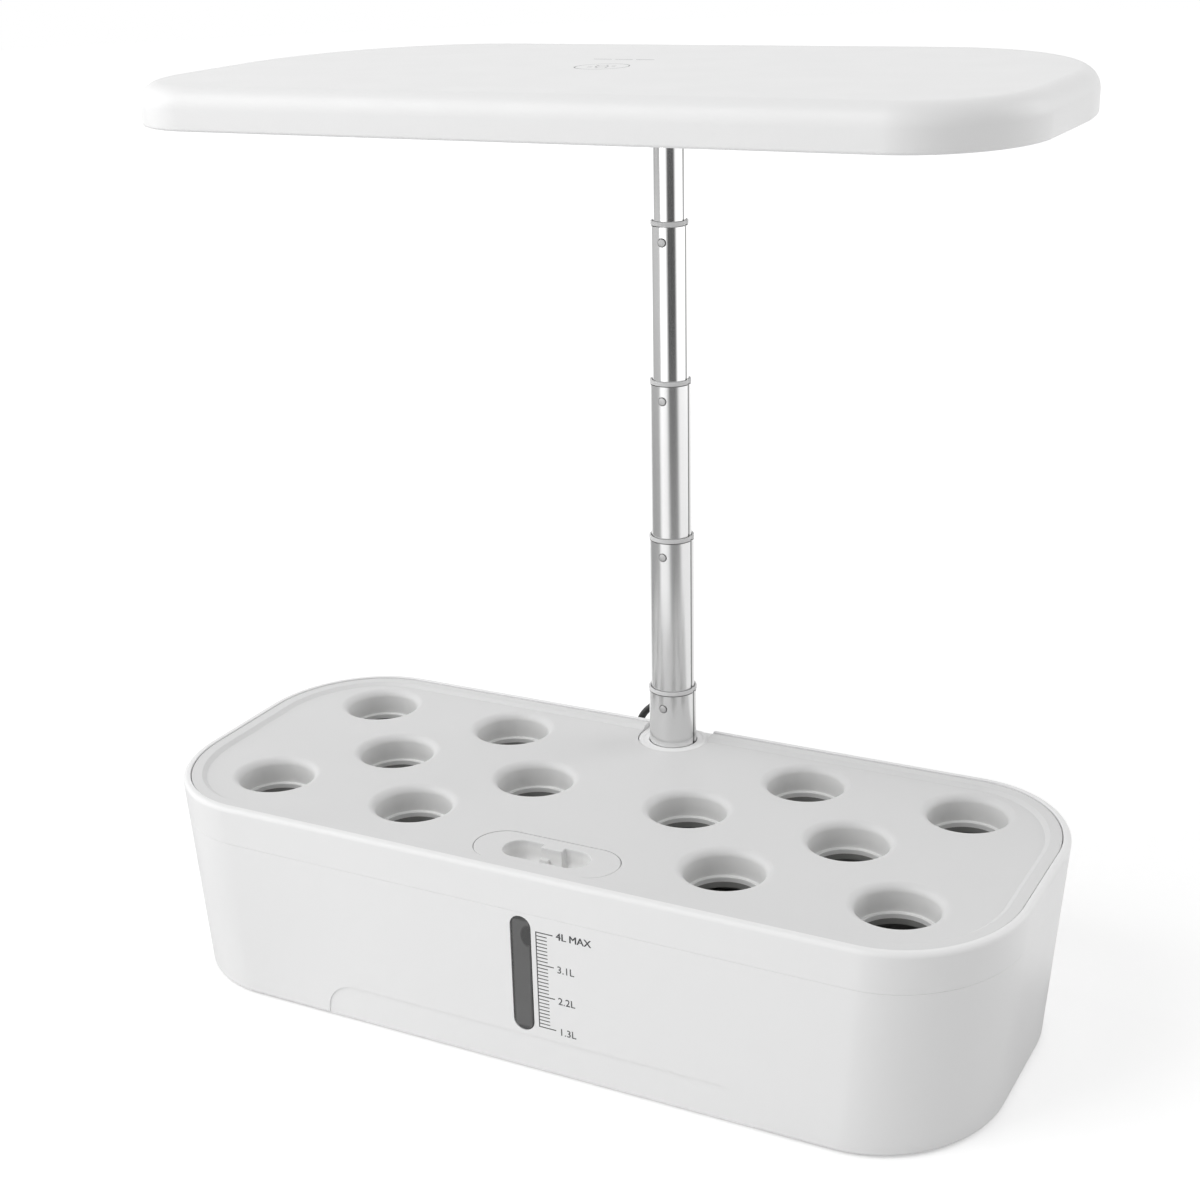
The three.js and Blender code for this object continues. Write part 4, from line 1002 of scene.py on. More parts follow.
@dataclass
class Studio:
    """Camera at the photograph's angle, pale floor and soft light."""

    eye: Point = (0.3658, -0.7375, 0.4752)
    yaw: float = 29.49
    pitch: float = 22.68
    roll: float = -2.18
    focal: float = 1993.0
    frame: float = 1200.0
    centre: tuple[float, float] = (527.1, 700.6)
    ambient: float = 0.56
    glow: tuple[float, float] = (0.35, 0.62)
    glow_reach: tuple[float, float] = (0.5, 1.6)
    lamps: list[Softbox] = field(default_factory=lambda: [
        Softbox("main lamp", (-1.25, -1.3, 1.9), (0, 0, 0.2), (1.6, 1.6), 21.0),
        Softbox("front lamp", (-1.2, -2.0, 0.6), (0, 0, 0.2), (1.4, 1.4), 6.6),
        Softbox("left lamp", (-2.2, -0.3, 0.9), (0, 0, 0.2), (1.6, 1.6), 10.5),
        Softbox("rear lamp", (1.7, 1.5, 1.2), (0, 0, 0.2), (1.6, 1.6), 14.4),
    ])
    cards: list[Card] = field(default_factory=lambda: [
        Card((0.115, 0.118, 0), -59.0, 18.0, 38.0, 0.68, 0.92, (0.42, 1.3)),
        Card((0, 0.0487, 0), -166.5, 32.0, 44.0, 0.64, 0.64, (0.1, 0.2)),
    ])

    def camera(self) -> None:
        """Add the camera with its lens shifted to the photograph's centre."""
        yaw, pitch, roll = (math.radians(v) for v in (self.yaw, self.pitch, self.roll))
        ahead = Vector((-math.sin(yaw) * math.cos(pitch), math.cos(yaw) * math.cos(pitch), -math.sin(pitch)))
        right = ahead.cross(Vector((0, 0, 1))).normalized()
        up = right.cross(ahead)
        level_right = right * math.cos(roll) + up * math.sin(roll)
        level_up = up * math.cos(roll) - right * math.sin(roll)
        data = bpy.data.cameras.new("photo camera")
        data.sensor_fit = "HORIZONTAL"
        data.sensor_width = 36.0
        data.lens = self.focal / self.frame * data.sensor_width
        data.shift_x = (self.frame / 2 - self.centre[0]) / self.frame
        data.shift_y = (self.centre[1] - self.frame / 2) / self.frame
        data.clip_end = 50.0
        camera = bpy.data.objects.new("photo camera", data)
        turn = Matrix((level_right, level_up, -ahead)).transposed().to_4x4()
        camera.matrix_world = Matrix.Translation(self.eye) @ turn
        bpy.context.scene.collection.objects.link(camera)
        bpy.context.scene.camera = camera

    def world(self) -> None:
        """Light the scene evenly, with plain white where the camera or a reflection looks past it."""
        world = bpy.data.worlds.new("white studio")
        bpy.context.scene.world = world
        world.use_nodes = True
        tree = world.node_tree
        tree.nodes.clear()
        path = tree.nodes.new("ShaderNodeLightPath")
        seen = tree.nodes.new("ShaderNodeMath")
        seen.operation = "MAXIMUM"
        tree.links.new(path.outputs["Is Camera Ray"], seen.inputs[0])
        tree.links.new(path.outputs["Is Glossy Ray"], seen.inputs[1])
        through = tree.nodes.new("ShaderNodeMath")
        through.operation = "MAXIMUM"
        tree.links.new(seen.outputs[0], through.inputs[0])
        tree.links.new(path.outputs["Is Transmission Ray"], through.inputs[1])
        strength = tree.nodes.new("ShaderNodeMapRange")
        strength.inputs["To Min"].default_value = self.ambient
        strength.inputs["To Max"].default_value = 1.0
        tree.links.new(through.outputs[0], strength.inputs[0])
        light = tree.nodes.new("ShaderNodeBackground")
        light.inputs[0].default_value = (1, 1, 1, 1)
        tree.links.new(strength.outputs[0], light.inputs[1])
        output = tree.nodes.new("ShaderNodeOutputWorld")
        tree.links.new(light.outputs[0], output.inputs[0])

    def floor(self) -> None:
        """Add a pale floor that keeps the shadow and otherwise shows as white, with the cards on it."""
        Bench.clear()
        bpy.ops.mesh.primitive_circle_add(vertices=96, radius=6.0, fill_type="NGON", location=(0, 0, 0))
        floor = bpy.context.object
        floor.name = "floor"
        graph = Graph("pale floor")
        path = graph.node("ShaderNodeLightPath")
        glossy = graph.out(path, "Is Glossy Ray")
        seen = graph.out(path, "Is Camera Ray").larger(glossy)
        bare = graph.node("ShaderNodeBsdfDiffuse", None, Color=(0.82, 0.82, 0.82, 1))
        x, y, _ = graph.axes(graph.place())
        away = (x * x + y * y).root().ramp(*self.glow_reach)
        near, far = ((level, level, level) for level in self.glow)
        glow = graph.node("ShaderNodeEmission", None, Color=graph.blend(away, near, far), Strength=1.0)
        lit = graph.node("ShaderNodeAddShader")
        graph.tree.links.new(bare.outputs[0], lit.inputs[0])
        graph.tree.links.new(glow.outputs[0], lit.inputs[1])
        mix = graph.node("ShaderNodeMixShader", None, seen)
        graph.tree.links.new(bare.outputs[0], mix.inputs[1])
        graph.tree.links.new(lit.outputs[0], mix.inputs[2])
        black = graph.node("ShaderNodeBsdfDiffuse", None, Color=(0.0, 0.0, 0.0, 1))
        first, second = (card.shade(graph) for card in self.cards)
        shaded = graph.node("ShaderNodeMixShader", None, first.larger(second) * glossy)
        graph.tree.links.new(mix.outputs[0], shaded.inputs[1])
        graph.tree.links.new(black.outputs[0], shaded.inputs[2])
        output = graph.node("ShaderNodeOutputMaterial")
        graph.tree.links.new(shaded.outputs[0], output.inputs[0])
        floor.data.materials.append(graph.material)

    def build(self) -> None:
        """Set the view and add everything that isn't the object."""
        bpy.context.scene.view_settings.view_transform = "Standard"
        self.camera()
        self.world()
        self.floor()
        for lamp in self.lamps:
            lamp.light()


# Cord


def curve_through(points: Sequence[Point], step: float) -> list[Vector]:
    """Return points along the smooth curve through some points, about a step apart (centripetal)."""
    knots = [Vector(p) for p in points]
    knots = [knots[0] * 2 - knots[1], *knots, knots[-1] * 2 - knots[-2]]
    out: list[Vector] = []
    for a, b, c, d in zip(knots, knots[1:], knots[2:], knots[3:]):
        t = [0.0]
        for low, high in ((a, b), (b, c), (c, d)):
            t.append(t[-1] + max((high - low).length, 1e-9) ** 0.5)
        count = max(2, math.ceil((c - b).length / step))
        for i in range(count):
            u = t[1] + (t[2] - t[1]) * i / count
            first = [(p * (t1 - u) + q * (u - t0)) / (t1 - t0) for p, q, t0, t1 in zip((a, b, c), (b, c, d), t, t[1:])]
            second = [(p * (t1 - u) + q * (u - t0)) / (t1 - t0)
                      for p, q, t0, t1 in zip(first, first[1:], t, t[2:])]
            out.append((second[0] * (t[2] - u) + second[1] * (u - t[1])) / (t[2] - t[1]))
    out.append(knots[-2])
    return out


def tube(name: str, path: Sequence[Vector], radius: float, resolution: int = 3) -> bpy.types.Object:
    """Return a round curve of one open spline along points in metres."""
    data = bpy.data.curves.new(name, "CURVE")
    data.dimensions = "3D"
    data.bevel_depth = radius * MM
    data.bevel_resolution = resolution
    data.use_fill_caps = True
    spline = data.splines.new("POLY")
    spline.points.add(len(path) - 1)
    for point, place in zip(spline.points, path):
        point.co = (*place, 1.0)
    piece = bpy.data.objects.new(name, data)
    bpy.context.scene.collection.objects.link(piece)
    return piece


@dataclass
class PowerLead:
    """The cord from the pole's foot to its plug-in adapter, coiled behind the tank."""

    radius: float = 1.75
    coil: tuple[float, float] = (-62.0, 122.5)
    turns: float = 4.75
    pitch: float = 4.1
    middle: float = 21.0
    tie_lift: float = 1.3
    steps: int = 48
    adapter: tuple[float, float] = (70.0, 143.0)
    box: Point = (58.0, 38.0, 27.0)
    stand: list[Point] = field(default_factory=lambda: [
        (0, 86.9, 98.3), (0, 91, 98.3), (-3, 96, 98.3), (-9, 98.8, 98.1), (-16, 99.2, 97.3), (-22.6, 98.8, 94.8),
        (-27.6, 97.8, 90), (-30.4, 96.4, 83), (-31.6, 94.8, 73), (-32, 93.4, 60), (-32.3, 92.4, 42), (-32.8, 92, 25),
        (-35.6, 91.9, 12), (-41.6, 91.8, 4.4), (-50, 91.8, 1.9), (-58.2, 91.76, 1.75),
    ])
    tail: list[Point] = field(default_factory=lambda: [
        (-58.2, 153.24, 5.85), (-53, 153.2, 5.8), (-46, 153.2, 5.2), (-37, 152.9, 3.5), (-28, 152, 2.2),
        (-18, 150.4, 2), (-8, 148.2, 3.2), (1, 146, 6.2), (9.5, 144.2, 10.2), (17, 143.2, 12.9), (23, 143, 13.5),
        (28.4, 143, 13.5), (35, 143, 13.5), (43, 143, 13.5),
    ])

    def coil_route(self) -> list[Point]:
        """Return the middle line of the coil: in on the floor, up at its middle and out on top."""
        inner = self.middle - self.turns * self.pitch / 2
        out = []
        for i in range(round(2 * self.turns * self.steps) + 1):
            turn = i / self.steps
            across = turn - self.turns
            angle = -QUARTER - turn * 2 * math.pi
            radius = inner + abs(across) * self.pitch
            share = min(1.0, max(0.0, (across + 0.25) / 0.5))
            climb = share * share * (3 - 2 * share)
            lift = self.tie_lift * max(0.0, -math.cos(angle)) ** 8
            x = self.coil[0] + radius * math.cos(angle)
            y = self.coil[1] + radius * math.sin(angle)
            out.append((x, y, self.radius + self.pitch * climb + lift))
        return out

    def route(self) -> list[Vector]:
        """Return the whole cord's middle line in metres."""
        stand = curve_through([tuple(at(*p)) for p in self.stand], 2.5 * MM)
        tail = curve_through([tuple(at(*p)) for p in self.tail], 2.5 * MM)
        return [*stand, *(at(*p) for p in self.coil_route()), *tail]

    def cord(self, frame: dict) -> None:
        """Add the cord and add up its length."""
        path = self.route()
        piece = tube("power_lead", path, self.radius)
        length = sum((b - a).length for a, b in zip(path, path[1:]))
        dress(piece, Finish.CORD, Body.BASE, "cord_black", "power_cord", "cord_coil", "power_cord_tail")
        plug = [frame["nodes"]["cord_tie"], *self.plug(frame)]

    def plug(self, frame: dict) -> list[bpy.types.Object]:
        """Add the adapter, its prongs and its relief, and return them."""
        x, y = self.adapter
        length, width, height = self.box
        plan = Plan(length / 2, -width / 2, width / 2, (5, 5), (5, 5))
        body = Bench.loft("adapter_case", plan, [
            *round_bottom(1.5, 0.0), (0, 12.9), (0.4, 13.2), (0.4, 13.6), (0, 13.9), *round_top(1.5, height, 5),
        ], steps=8)
        body.data.transform(Matrix.Translation(at(x, y + TANK_BACK, 0)))
        Bench.shade(body)
        dress(body, Finish.BLACK, Body.BASE, "pump_black", "adapter_body")
        relief_x = x - length / 2 - 0.3
        profile = [(0.0, 0.0)]
        for i in range(5):
            share = i / 5
            radius = 3.4 - share * 1.1
            low = share * 12
            profile += [(radius, low + 0.01), (radius, low + 1.4), (radius - 0.5, low + 1.5), (radius - 0.5, low + 2.3)]
        profile += [(2.0, 12.0), (0.0, 12.0)]
        relief = Bench.revolve("cord_relief", profile, at(relief_x, y, height / 2), 32, (-1, 0, 0))
        Bench.shade(relief, 50)
        dress(relief, Finish.CORD, Body.BASE, "cord_black", "adapter_relief")
        out = [body, relief]
        for i, side in enumerate((-1, 1)):
            centre = at(x + length / 2 - 16, y + side * 6.35, height + 0.3 + 8.5)
            prong = Bench.block(f"plug_blade_{i + 1}", (6.2, 1.5, 17.0), centre)
            Bench.soften(prong, 0.4, 3)
            hole = Bench.revolve("blade hole", [(0, -3), (1.6, -3), (1.6, 3), (0, 3)], centre + at(0, TANK_BACK, 4), 24, (0, 1, 0))
            Bench.cut(prong, hole)
            Bench.shade(prong)
            dress(prong, Finish.BRASS, Body.BASE, "prong_brass", f"adapter_prong_{i + 1}")
            out.append(prong)
        return out


# Tank


@dataclass
class Tank:
    """Water tank with its upper rim, window, feet and pole socket."""

    wall: float = 2.6
    floor: float = 4.0
    tongue: float = 3.0
    well_half: float = 16.7
    socket_half: float = 16.4
    window: tuple[float, float, float] = (1.9, 9.4, 54.4)
    arch: tuple[float, float, float] = (3.8, 103.0, 16.6)

    def window_prism(self, name: str, grow: float, near: float, far: float) -> bpy.types.Object:
        """Return an upright stadium through the front wall."""
        x, width, height = self.window
        piece = Bench.stadium(name, (height + 2 * grow, width + 2 * grow), (0, 0), 0, far - near, 48)
        turn = Matrix.Rotation(QUARTER, 4, "X") @ Matrix.Rotation(QUARTER, 4, "Z")
        piece.data.transform(Matrix.Translation(-at(0, 0, 0)))
        piece.data.transform(turn)
        piece.data.transform(Matrix.Translation(at(x, far, BASE_Z + 18.9 + height / 2)))
        return piece

    def arch_tool(self) -> bpy.types.Object:
        """Return the shallow recess along the front's lower edge."""
        x, half, height = self.arch
        depth = 3.3
        piece = Bench.block("arch tool", (2 * half, depth, height + 2), at(x, FRONT_Y - 2 + depth / 2, BASE_Z - 1 + height / 2))
        top = at(0, 0, BASE_Z + height).z - 1e-6
        side = at(x, 0, 0).x
        with Bench.editing(piece):
            Bench.pick(piece, lambda v: v.co.z > top and v.co.x > side)
            bpy.ops.mesh.bevel(offset=14 * MM, segments=14, affect="EDGES")
            Bench.pick(piece, lambda v: v.co.z > top and v.co.x < side - 60 * MM)
            bpy.ops.mesh.bevel(offset=14 * MM, segments=14, affect="EDGES")
        return piece

    def body(self) -> None:
        """Build the tank body from its drafted outside, its cavity and the dry well for the pole."""
        shell = Bench.loft("tank_shell", TANK_PLAN, [
            *round_bottom(1.2, BASE_Z), (0, PART_Z - 0.06), (0.06, PART_Z), (1.5, PART_Z), (1.5, PART_Z + self.tongue),
        ])
        cavity = Bench.loft("cavity", TANK_PLAN, [
            *round_bottom(4.0, self.floor, 6, self.wall), (self.wall, PART_Z + self.tongue + 2),
        ])
        wall = Bench.notch("well wall", self.well_half + self.wall, -2, PART_Z, REAR_Y + 2)
        Bench.cut(cavity, wall)
        Bench.cut(shell, cavity, Bench.notch("well", self.well_half, self.floor, PART_Z + 6, REAR_Y + 2))
        Bench.cut(shell, self.arch_tool(), self.window_prism("slot", 0.3, FRONT_Y - 2, FRONT_Y + 5.4))
        for x in (-146.85, 146.85):
            for y in (-54.5, 54.5):
                Bench.cut(shell, Bench.revolve("pocket", [(0, -2), (6.3, -2), (6.3, 2.2), (0, 2.2)], at(x, y, 0), 40))
        hole = Bench.revolve("lead hole", [(0, -4), (1.8, -4), (1.8, 4), (0, 4)], at(-17.4, 74, 70.4), 24, (1, 0, 0))
        Bench.cut(shell, hole)
        Bench.shade(shell)
        dress(shell, Finish.TANK, Body.BASE, "tank_white", "tank_body")

    def rim(self) -> None:
        """Build the upper rim: a ring with a rounded top edge and a ledge for the deck."""
        under = 91.0
        ring = Bench.loft("tank_rim", TANK_PLAN, [
            (0.06, PART_Z + 0.07), (0, PART_Z + 0.13), *round_top(2.4, RIM_Z), (3.3, RIM_Z), (3.5, RIM_Z - 0.2),
            (3.5, under), (8.7, under), (8.7, under - 2), (3.5, under - 2), (3.5, 79.6), (1.2, 79.6), (1.2, PART_Z + 0.07),
        ], closed=True)
        Bench.cut(ring, Bench.notch("rim gap", self.well_half, 60, RIM_Z + 4, REAR_Y + 4))
        Bench.shade(ring)
        dress(ring, Finish.RIM, Body.BASE, "tank_white", "upper_rim")

    def pane(self) -> None:
        """Build the window insert with its inner flange."""
        inner = FRONT_Y + self.wall + 0.8 + 0.3
        lens = self.window_prism("window_pane", 0, FRONT_Y + 0.6, inner + 1.2)
        Bench.soften(lens, 0.3, 2)
        flange = self.window_prism("flange", 3.0, inner, inner + 1.2)
        Bench.boolean(lens, flange, "UNION")
        Bench.shade(lens)
        dress(lens, Finish.WINDOW, Body.BASE, "window_clear", "water_window")

    def socket(self) -> None:
        """Build the dry column that holds the pole, with a low ring round the tube."""
        top = FIELD_Z - 0.5
        bottom = BASE_Z + 3.3
        column = Bench.notch("pole_column", self.socket_half, bottom, top, REAR_Y + 2)
        rear = Bench.loft("rear face", TANK_PLAN, [(0, BASE_Z), (0, RIM_Z)])
        Bench.boolean(column, rear, "INTERSECT")
        bore = Bench.revolve("bore", [(0, 3), (11.3, 3), (11.3, 99), (0, 99)], at(0, POLE_Y, bottom), 72)
        Bench.cut(column, bore)
        Bench.soften(column, 0.35, 2, 50)
        ring = Bench.revolve("ring", [
            (13.9, top - 0.4), (16.0, top - 0.4), (16.0, top + 0.05), (15.7, top + 0.2), (14.2, top + 0.2), (13.9, top + 0.05),
        ], at(0, POLE_Y, 0), 72, closed=True)
        Bench.cut(ring, Bench.block("cap", (60, 20, 20), at(0, REAR_Y + 10, top)))
        Bench.merge(column, ring)
        Bench.shade(column)
        dress(column, Finish.RIM, Body.BASE, "tank_white", "pole_socket")

    def feet(self) -> None:
        """Turn one rubber foot and copy it to the four corners."""
        profile = [(0, 0.25), (3.6, 0.25), (3.9, 0), (5.6, 0), (6, 0.4), (6, 1.9), (0, 1.9)]
        places = [(-146.85, -54.5), (146.85, -54.5), (-146.85, 54.5), (146.85, 54.5)]
        first = Bench.revolve("foot_pad_1", profile, at(*places[0], 0), 40)
        Bench.shade(first)
        for i, (x, y) in enumerate(places):
            shift = Matrix.Translation(at(x, y, 0) - at(*places[0], 0))
            pad = first if i == 0 else Bench.copy(first, f"foot_pad_{i + 1}", shift)
            dress(pad, Finish.FOOT, Body.BASE, "foot_rubber", f"rubber_foot_{i + 1}")

    def build(self) -> None:
        """Build the whole tank."""
        self.body()
        self.rim()
        self.pane()
        self.socket()
        self.feet()


@dataclass
class ScaleNumbers:
    """Litre numbers beside the window, cut as thin ink, the bold one twice with a small shift."""

    start_x: float = 18.6
    size: float = 4.75
    rows: tuple[tuple[str, float, float], ...] = (
        ("4L MAX", 68.8, 0.18), ("3.1L", 53.0, 0.0), ("2.2L", 37.8, 0.0), ("1.3L", 22.8, 0.0),
    )

    def build(self) -> None:
        """Write each number, make it a mesh and lay it on the drafted front."""
        made = []
        strokes = [(words, z, x) for words, z, weight in self.rows for x in sorted({0.0, weight})]
        for words, z, aside in strokes:
            Bench.clear()
            bpy.ops.object.text_add(location=(0, 0, 0))
            item = bpy.context.object
            item.data.body = words
            item.data.size = self.size * MM
            item.data.extrude = 0.03 * MM
            item.data.align_y = "CENTER"
            item.data.resolution_u = 4
            face = FRONT_Y + 0.8 * (RIM_Z - z) / 93.4
            lean = math.atan(0.8 / 93.4)
            item.rotation_euler = (QUARTER + lean, 0, 0)
            item.location = at(self.start_x + aside, face + aside * 0.05, z)
            Bench.only(item)
            bpy.ops.object.convert(target="MESH")
            Bench.settle(item)
            made.append(item)
        piece = Bench.merge(*made)
        piece.name = piece.data.name = "scale_numbers"
        dress(piece, Finish.INK, Body.BASE, "print_grey")


# Deck and cap


@dataclass
class Deck:
    """Growing deck with twelve stepped wells, and the filler cap at its front."""

    throat: float = 17.15
    lip: float = 3.5
    ledge_z: float = 80.0
    bottom_z: float = 75.0
    first: float = 38.0
    pitch: float = 37.2
    row: float = 45.6
    middle: float = 4.6
    cap_centre: tuple[float, float] = (2.2, -60.1)
    cap_size: tuple[float, float] = (67.0, 26.4)

    def places(self) -> list[tuple[float, float]]:
        """Return the twelve well centres."""
        columns = ((0, 0), (1, 1), (1, -1), (2, 0), (3, 1), (3, -1))
        return [(side * (self.first + step * self.pitch), self.middle + row * self.row)
                for side in (-1, 1) for step, row in columns]

    def well(self, name: str, place: tuple[float, float]) -> bpy.types.Object:
        """Return one well: rounded lip, bore, seat ledge and lower throat, with its outer sleeve."""
        lower = self.throat - 1.4
        lip = [(self.throat + inset, z) for inset, z in round_top(self.lip, FIELD_Z, 8)]
        edge = self.throat + self.lip
        return Bench.revolve(name, [
            (lower + 0.2, self.bottom_z), (lower, self.bottom_z + 0.2), (lower, self.ledge_z - 0.2),
            (lower + 0.2, self.ledge_z), (self.throat - 0.3, self.ledge_z), (self.throat, self.ledge_z + 0.3), *lip,
            (edge, FIELD_Z - 2.6), (self.throat + 1.6, FIELD_Z - 2.6), (self.throat + 1.6, self.ledge_z - 1.6),
            (lower + 1.6, self.ledge_z - 1.6), (lower + 1.6, self.bottom_z),
        ], at(*place, 0), 56, closed=True)

    def plate(self) -> None:
        """Build the deck plate with its raised border and join the wells to it."""
        plate = Bench.loft("deck_plate", TANK_PLAN, [
            (9.0, 89.7), (9.0, 91.3), (3.85, 91.3), (3.85, 93.6), (4.0, 93.82), (4.3, 93.9), (8.6, 93.9), (9.0, 93.75),
            (10.6, 92.5), (11.05, FIELD_Z),
        ])
        edge = self.throat + self.lip
        places = self.places()
        tool = Bench.revolve("well tool", [(0, 60), (edge, 60), (edge, 120), (0, 120)], at(*places[0], 0), 56)
        twins = [Bench.copy(tool, f"well tool {i}", Matrix.Translation(at(x, y, 0) - at(*places[0], 0)))
                 for i, (x, y) in enumerate(places[1:])]
        Bench.cut(plate, Bench.merge(tool, *twins), Bench.notch("deck gap", 16.7, 60, 120, REAR_Y + 4))
        x, y = self.cap_centre
        length, width = self.cap_size
        frame = Bench.stadium("mouth frame", (length + 3.8, width + 3.8), (x, y), 87.0, 91.0)
        Bench.boolean(plate, frame, "UNION")
        Bench.cut(
            plate,
            Bench.stadium("mouth", (length + 0.6, width + 0.6), (x, y), 89.6, 120),
            Bench.stadium("throat", (length - 4.8 + 0.6, width - 4.8 + 0.6), (x, y), 60, 120),
        )
        first = self.well("well", places[0])
        wells = [Bench.copy(first, f"well {i}", Matrix.Translation(at(px, py, 0) - at(*places[0], 0)))
                 for i, (px, py) in enumerate(places[1:])]
        Bench.merge(plate, first, *wells)
        Bench.shade(plate)
        dress(plate, Finish.DECK, Body.DECK, "deck_white", "grow_deck")

    def cap(self) -> None:
        """Build the filler cap: plate, locating lip, finger bowl, grip rib and lug."""
        x, y = self.cap_centre
        length, width = self.cap_size
        top = FIELD_Z
        plate = Bench.stadium("cap_plate", (length, width), (x, y), top - 2.4, top, 80)
        bowl = Bench.stadium("bowl", (43.0, 18.6), (x, y), top - 11.0, top - 1.2, 64)
        Bench.boolean(plate, bowl, "UNION")
        scoop = Bench.stadium("scoop", (40.0, 15.6), (x, y), top - 9.5, top + 2, 64)
        grip = Bench.block("grip", (10.0, 3.4 + 2, 14), at(x, y + 7.8 - 3.4 + 2.7, top - 9.5 + 6.8))
        Bench.cut(scoop, grip)
        with Bench.editing(scoop):
            low = at(0, 0, top - 9.4).z
            Bench.pick(scoop, lambda v: v.co.z < low)
            bpy.ops.mesh.bevel(offset=4.2 * MM, segments=7, affect="EDGES")
        Bench.cut(plate, scoop)
        Bench.soften(plate, 0.45, 3, 50)
        lip = Bench.stadium("lip", (61.6, 21.0), (x, y), top - 7.4, top - 2.2, 64)
        Bench.cut(lip, Bench.stadium("lip hollow", (58.4, 17.8), (x, y), top - 9, top, 64))
        lug = Bench.block("lug", (4.2, 2.55, 5.25), at(x - 2.9, y + 7.8 - 3.4 - 0.525, top - 5 - 2.625))
        Bench.soften(lug, 0.3, 2)
        Bench.merge(plate, lip, lug)
        Bench.shade(plate)
        dress(plate, Finish.DECK, Body.CAP, "deck_white", "filler_cap")

    def build(self) -> None:
        """Build the deck and its cap."""
        self.plate()
        self.cap()


# Pole


@dataclass
class Stage:
    """One tube of the pole with what it carries, measured from its own lock button."""

    name: str
    body: Body
    index: int
    low: float
    high: float
    button: float | None
    above: float | None

    @property
    def radius(self) -> float:
        """Return the tube's outer radius in millimetres."""
        return 11.0 - self.index


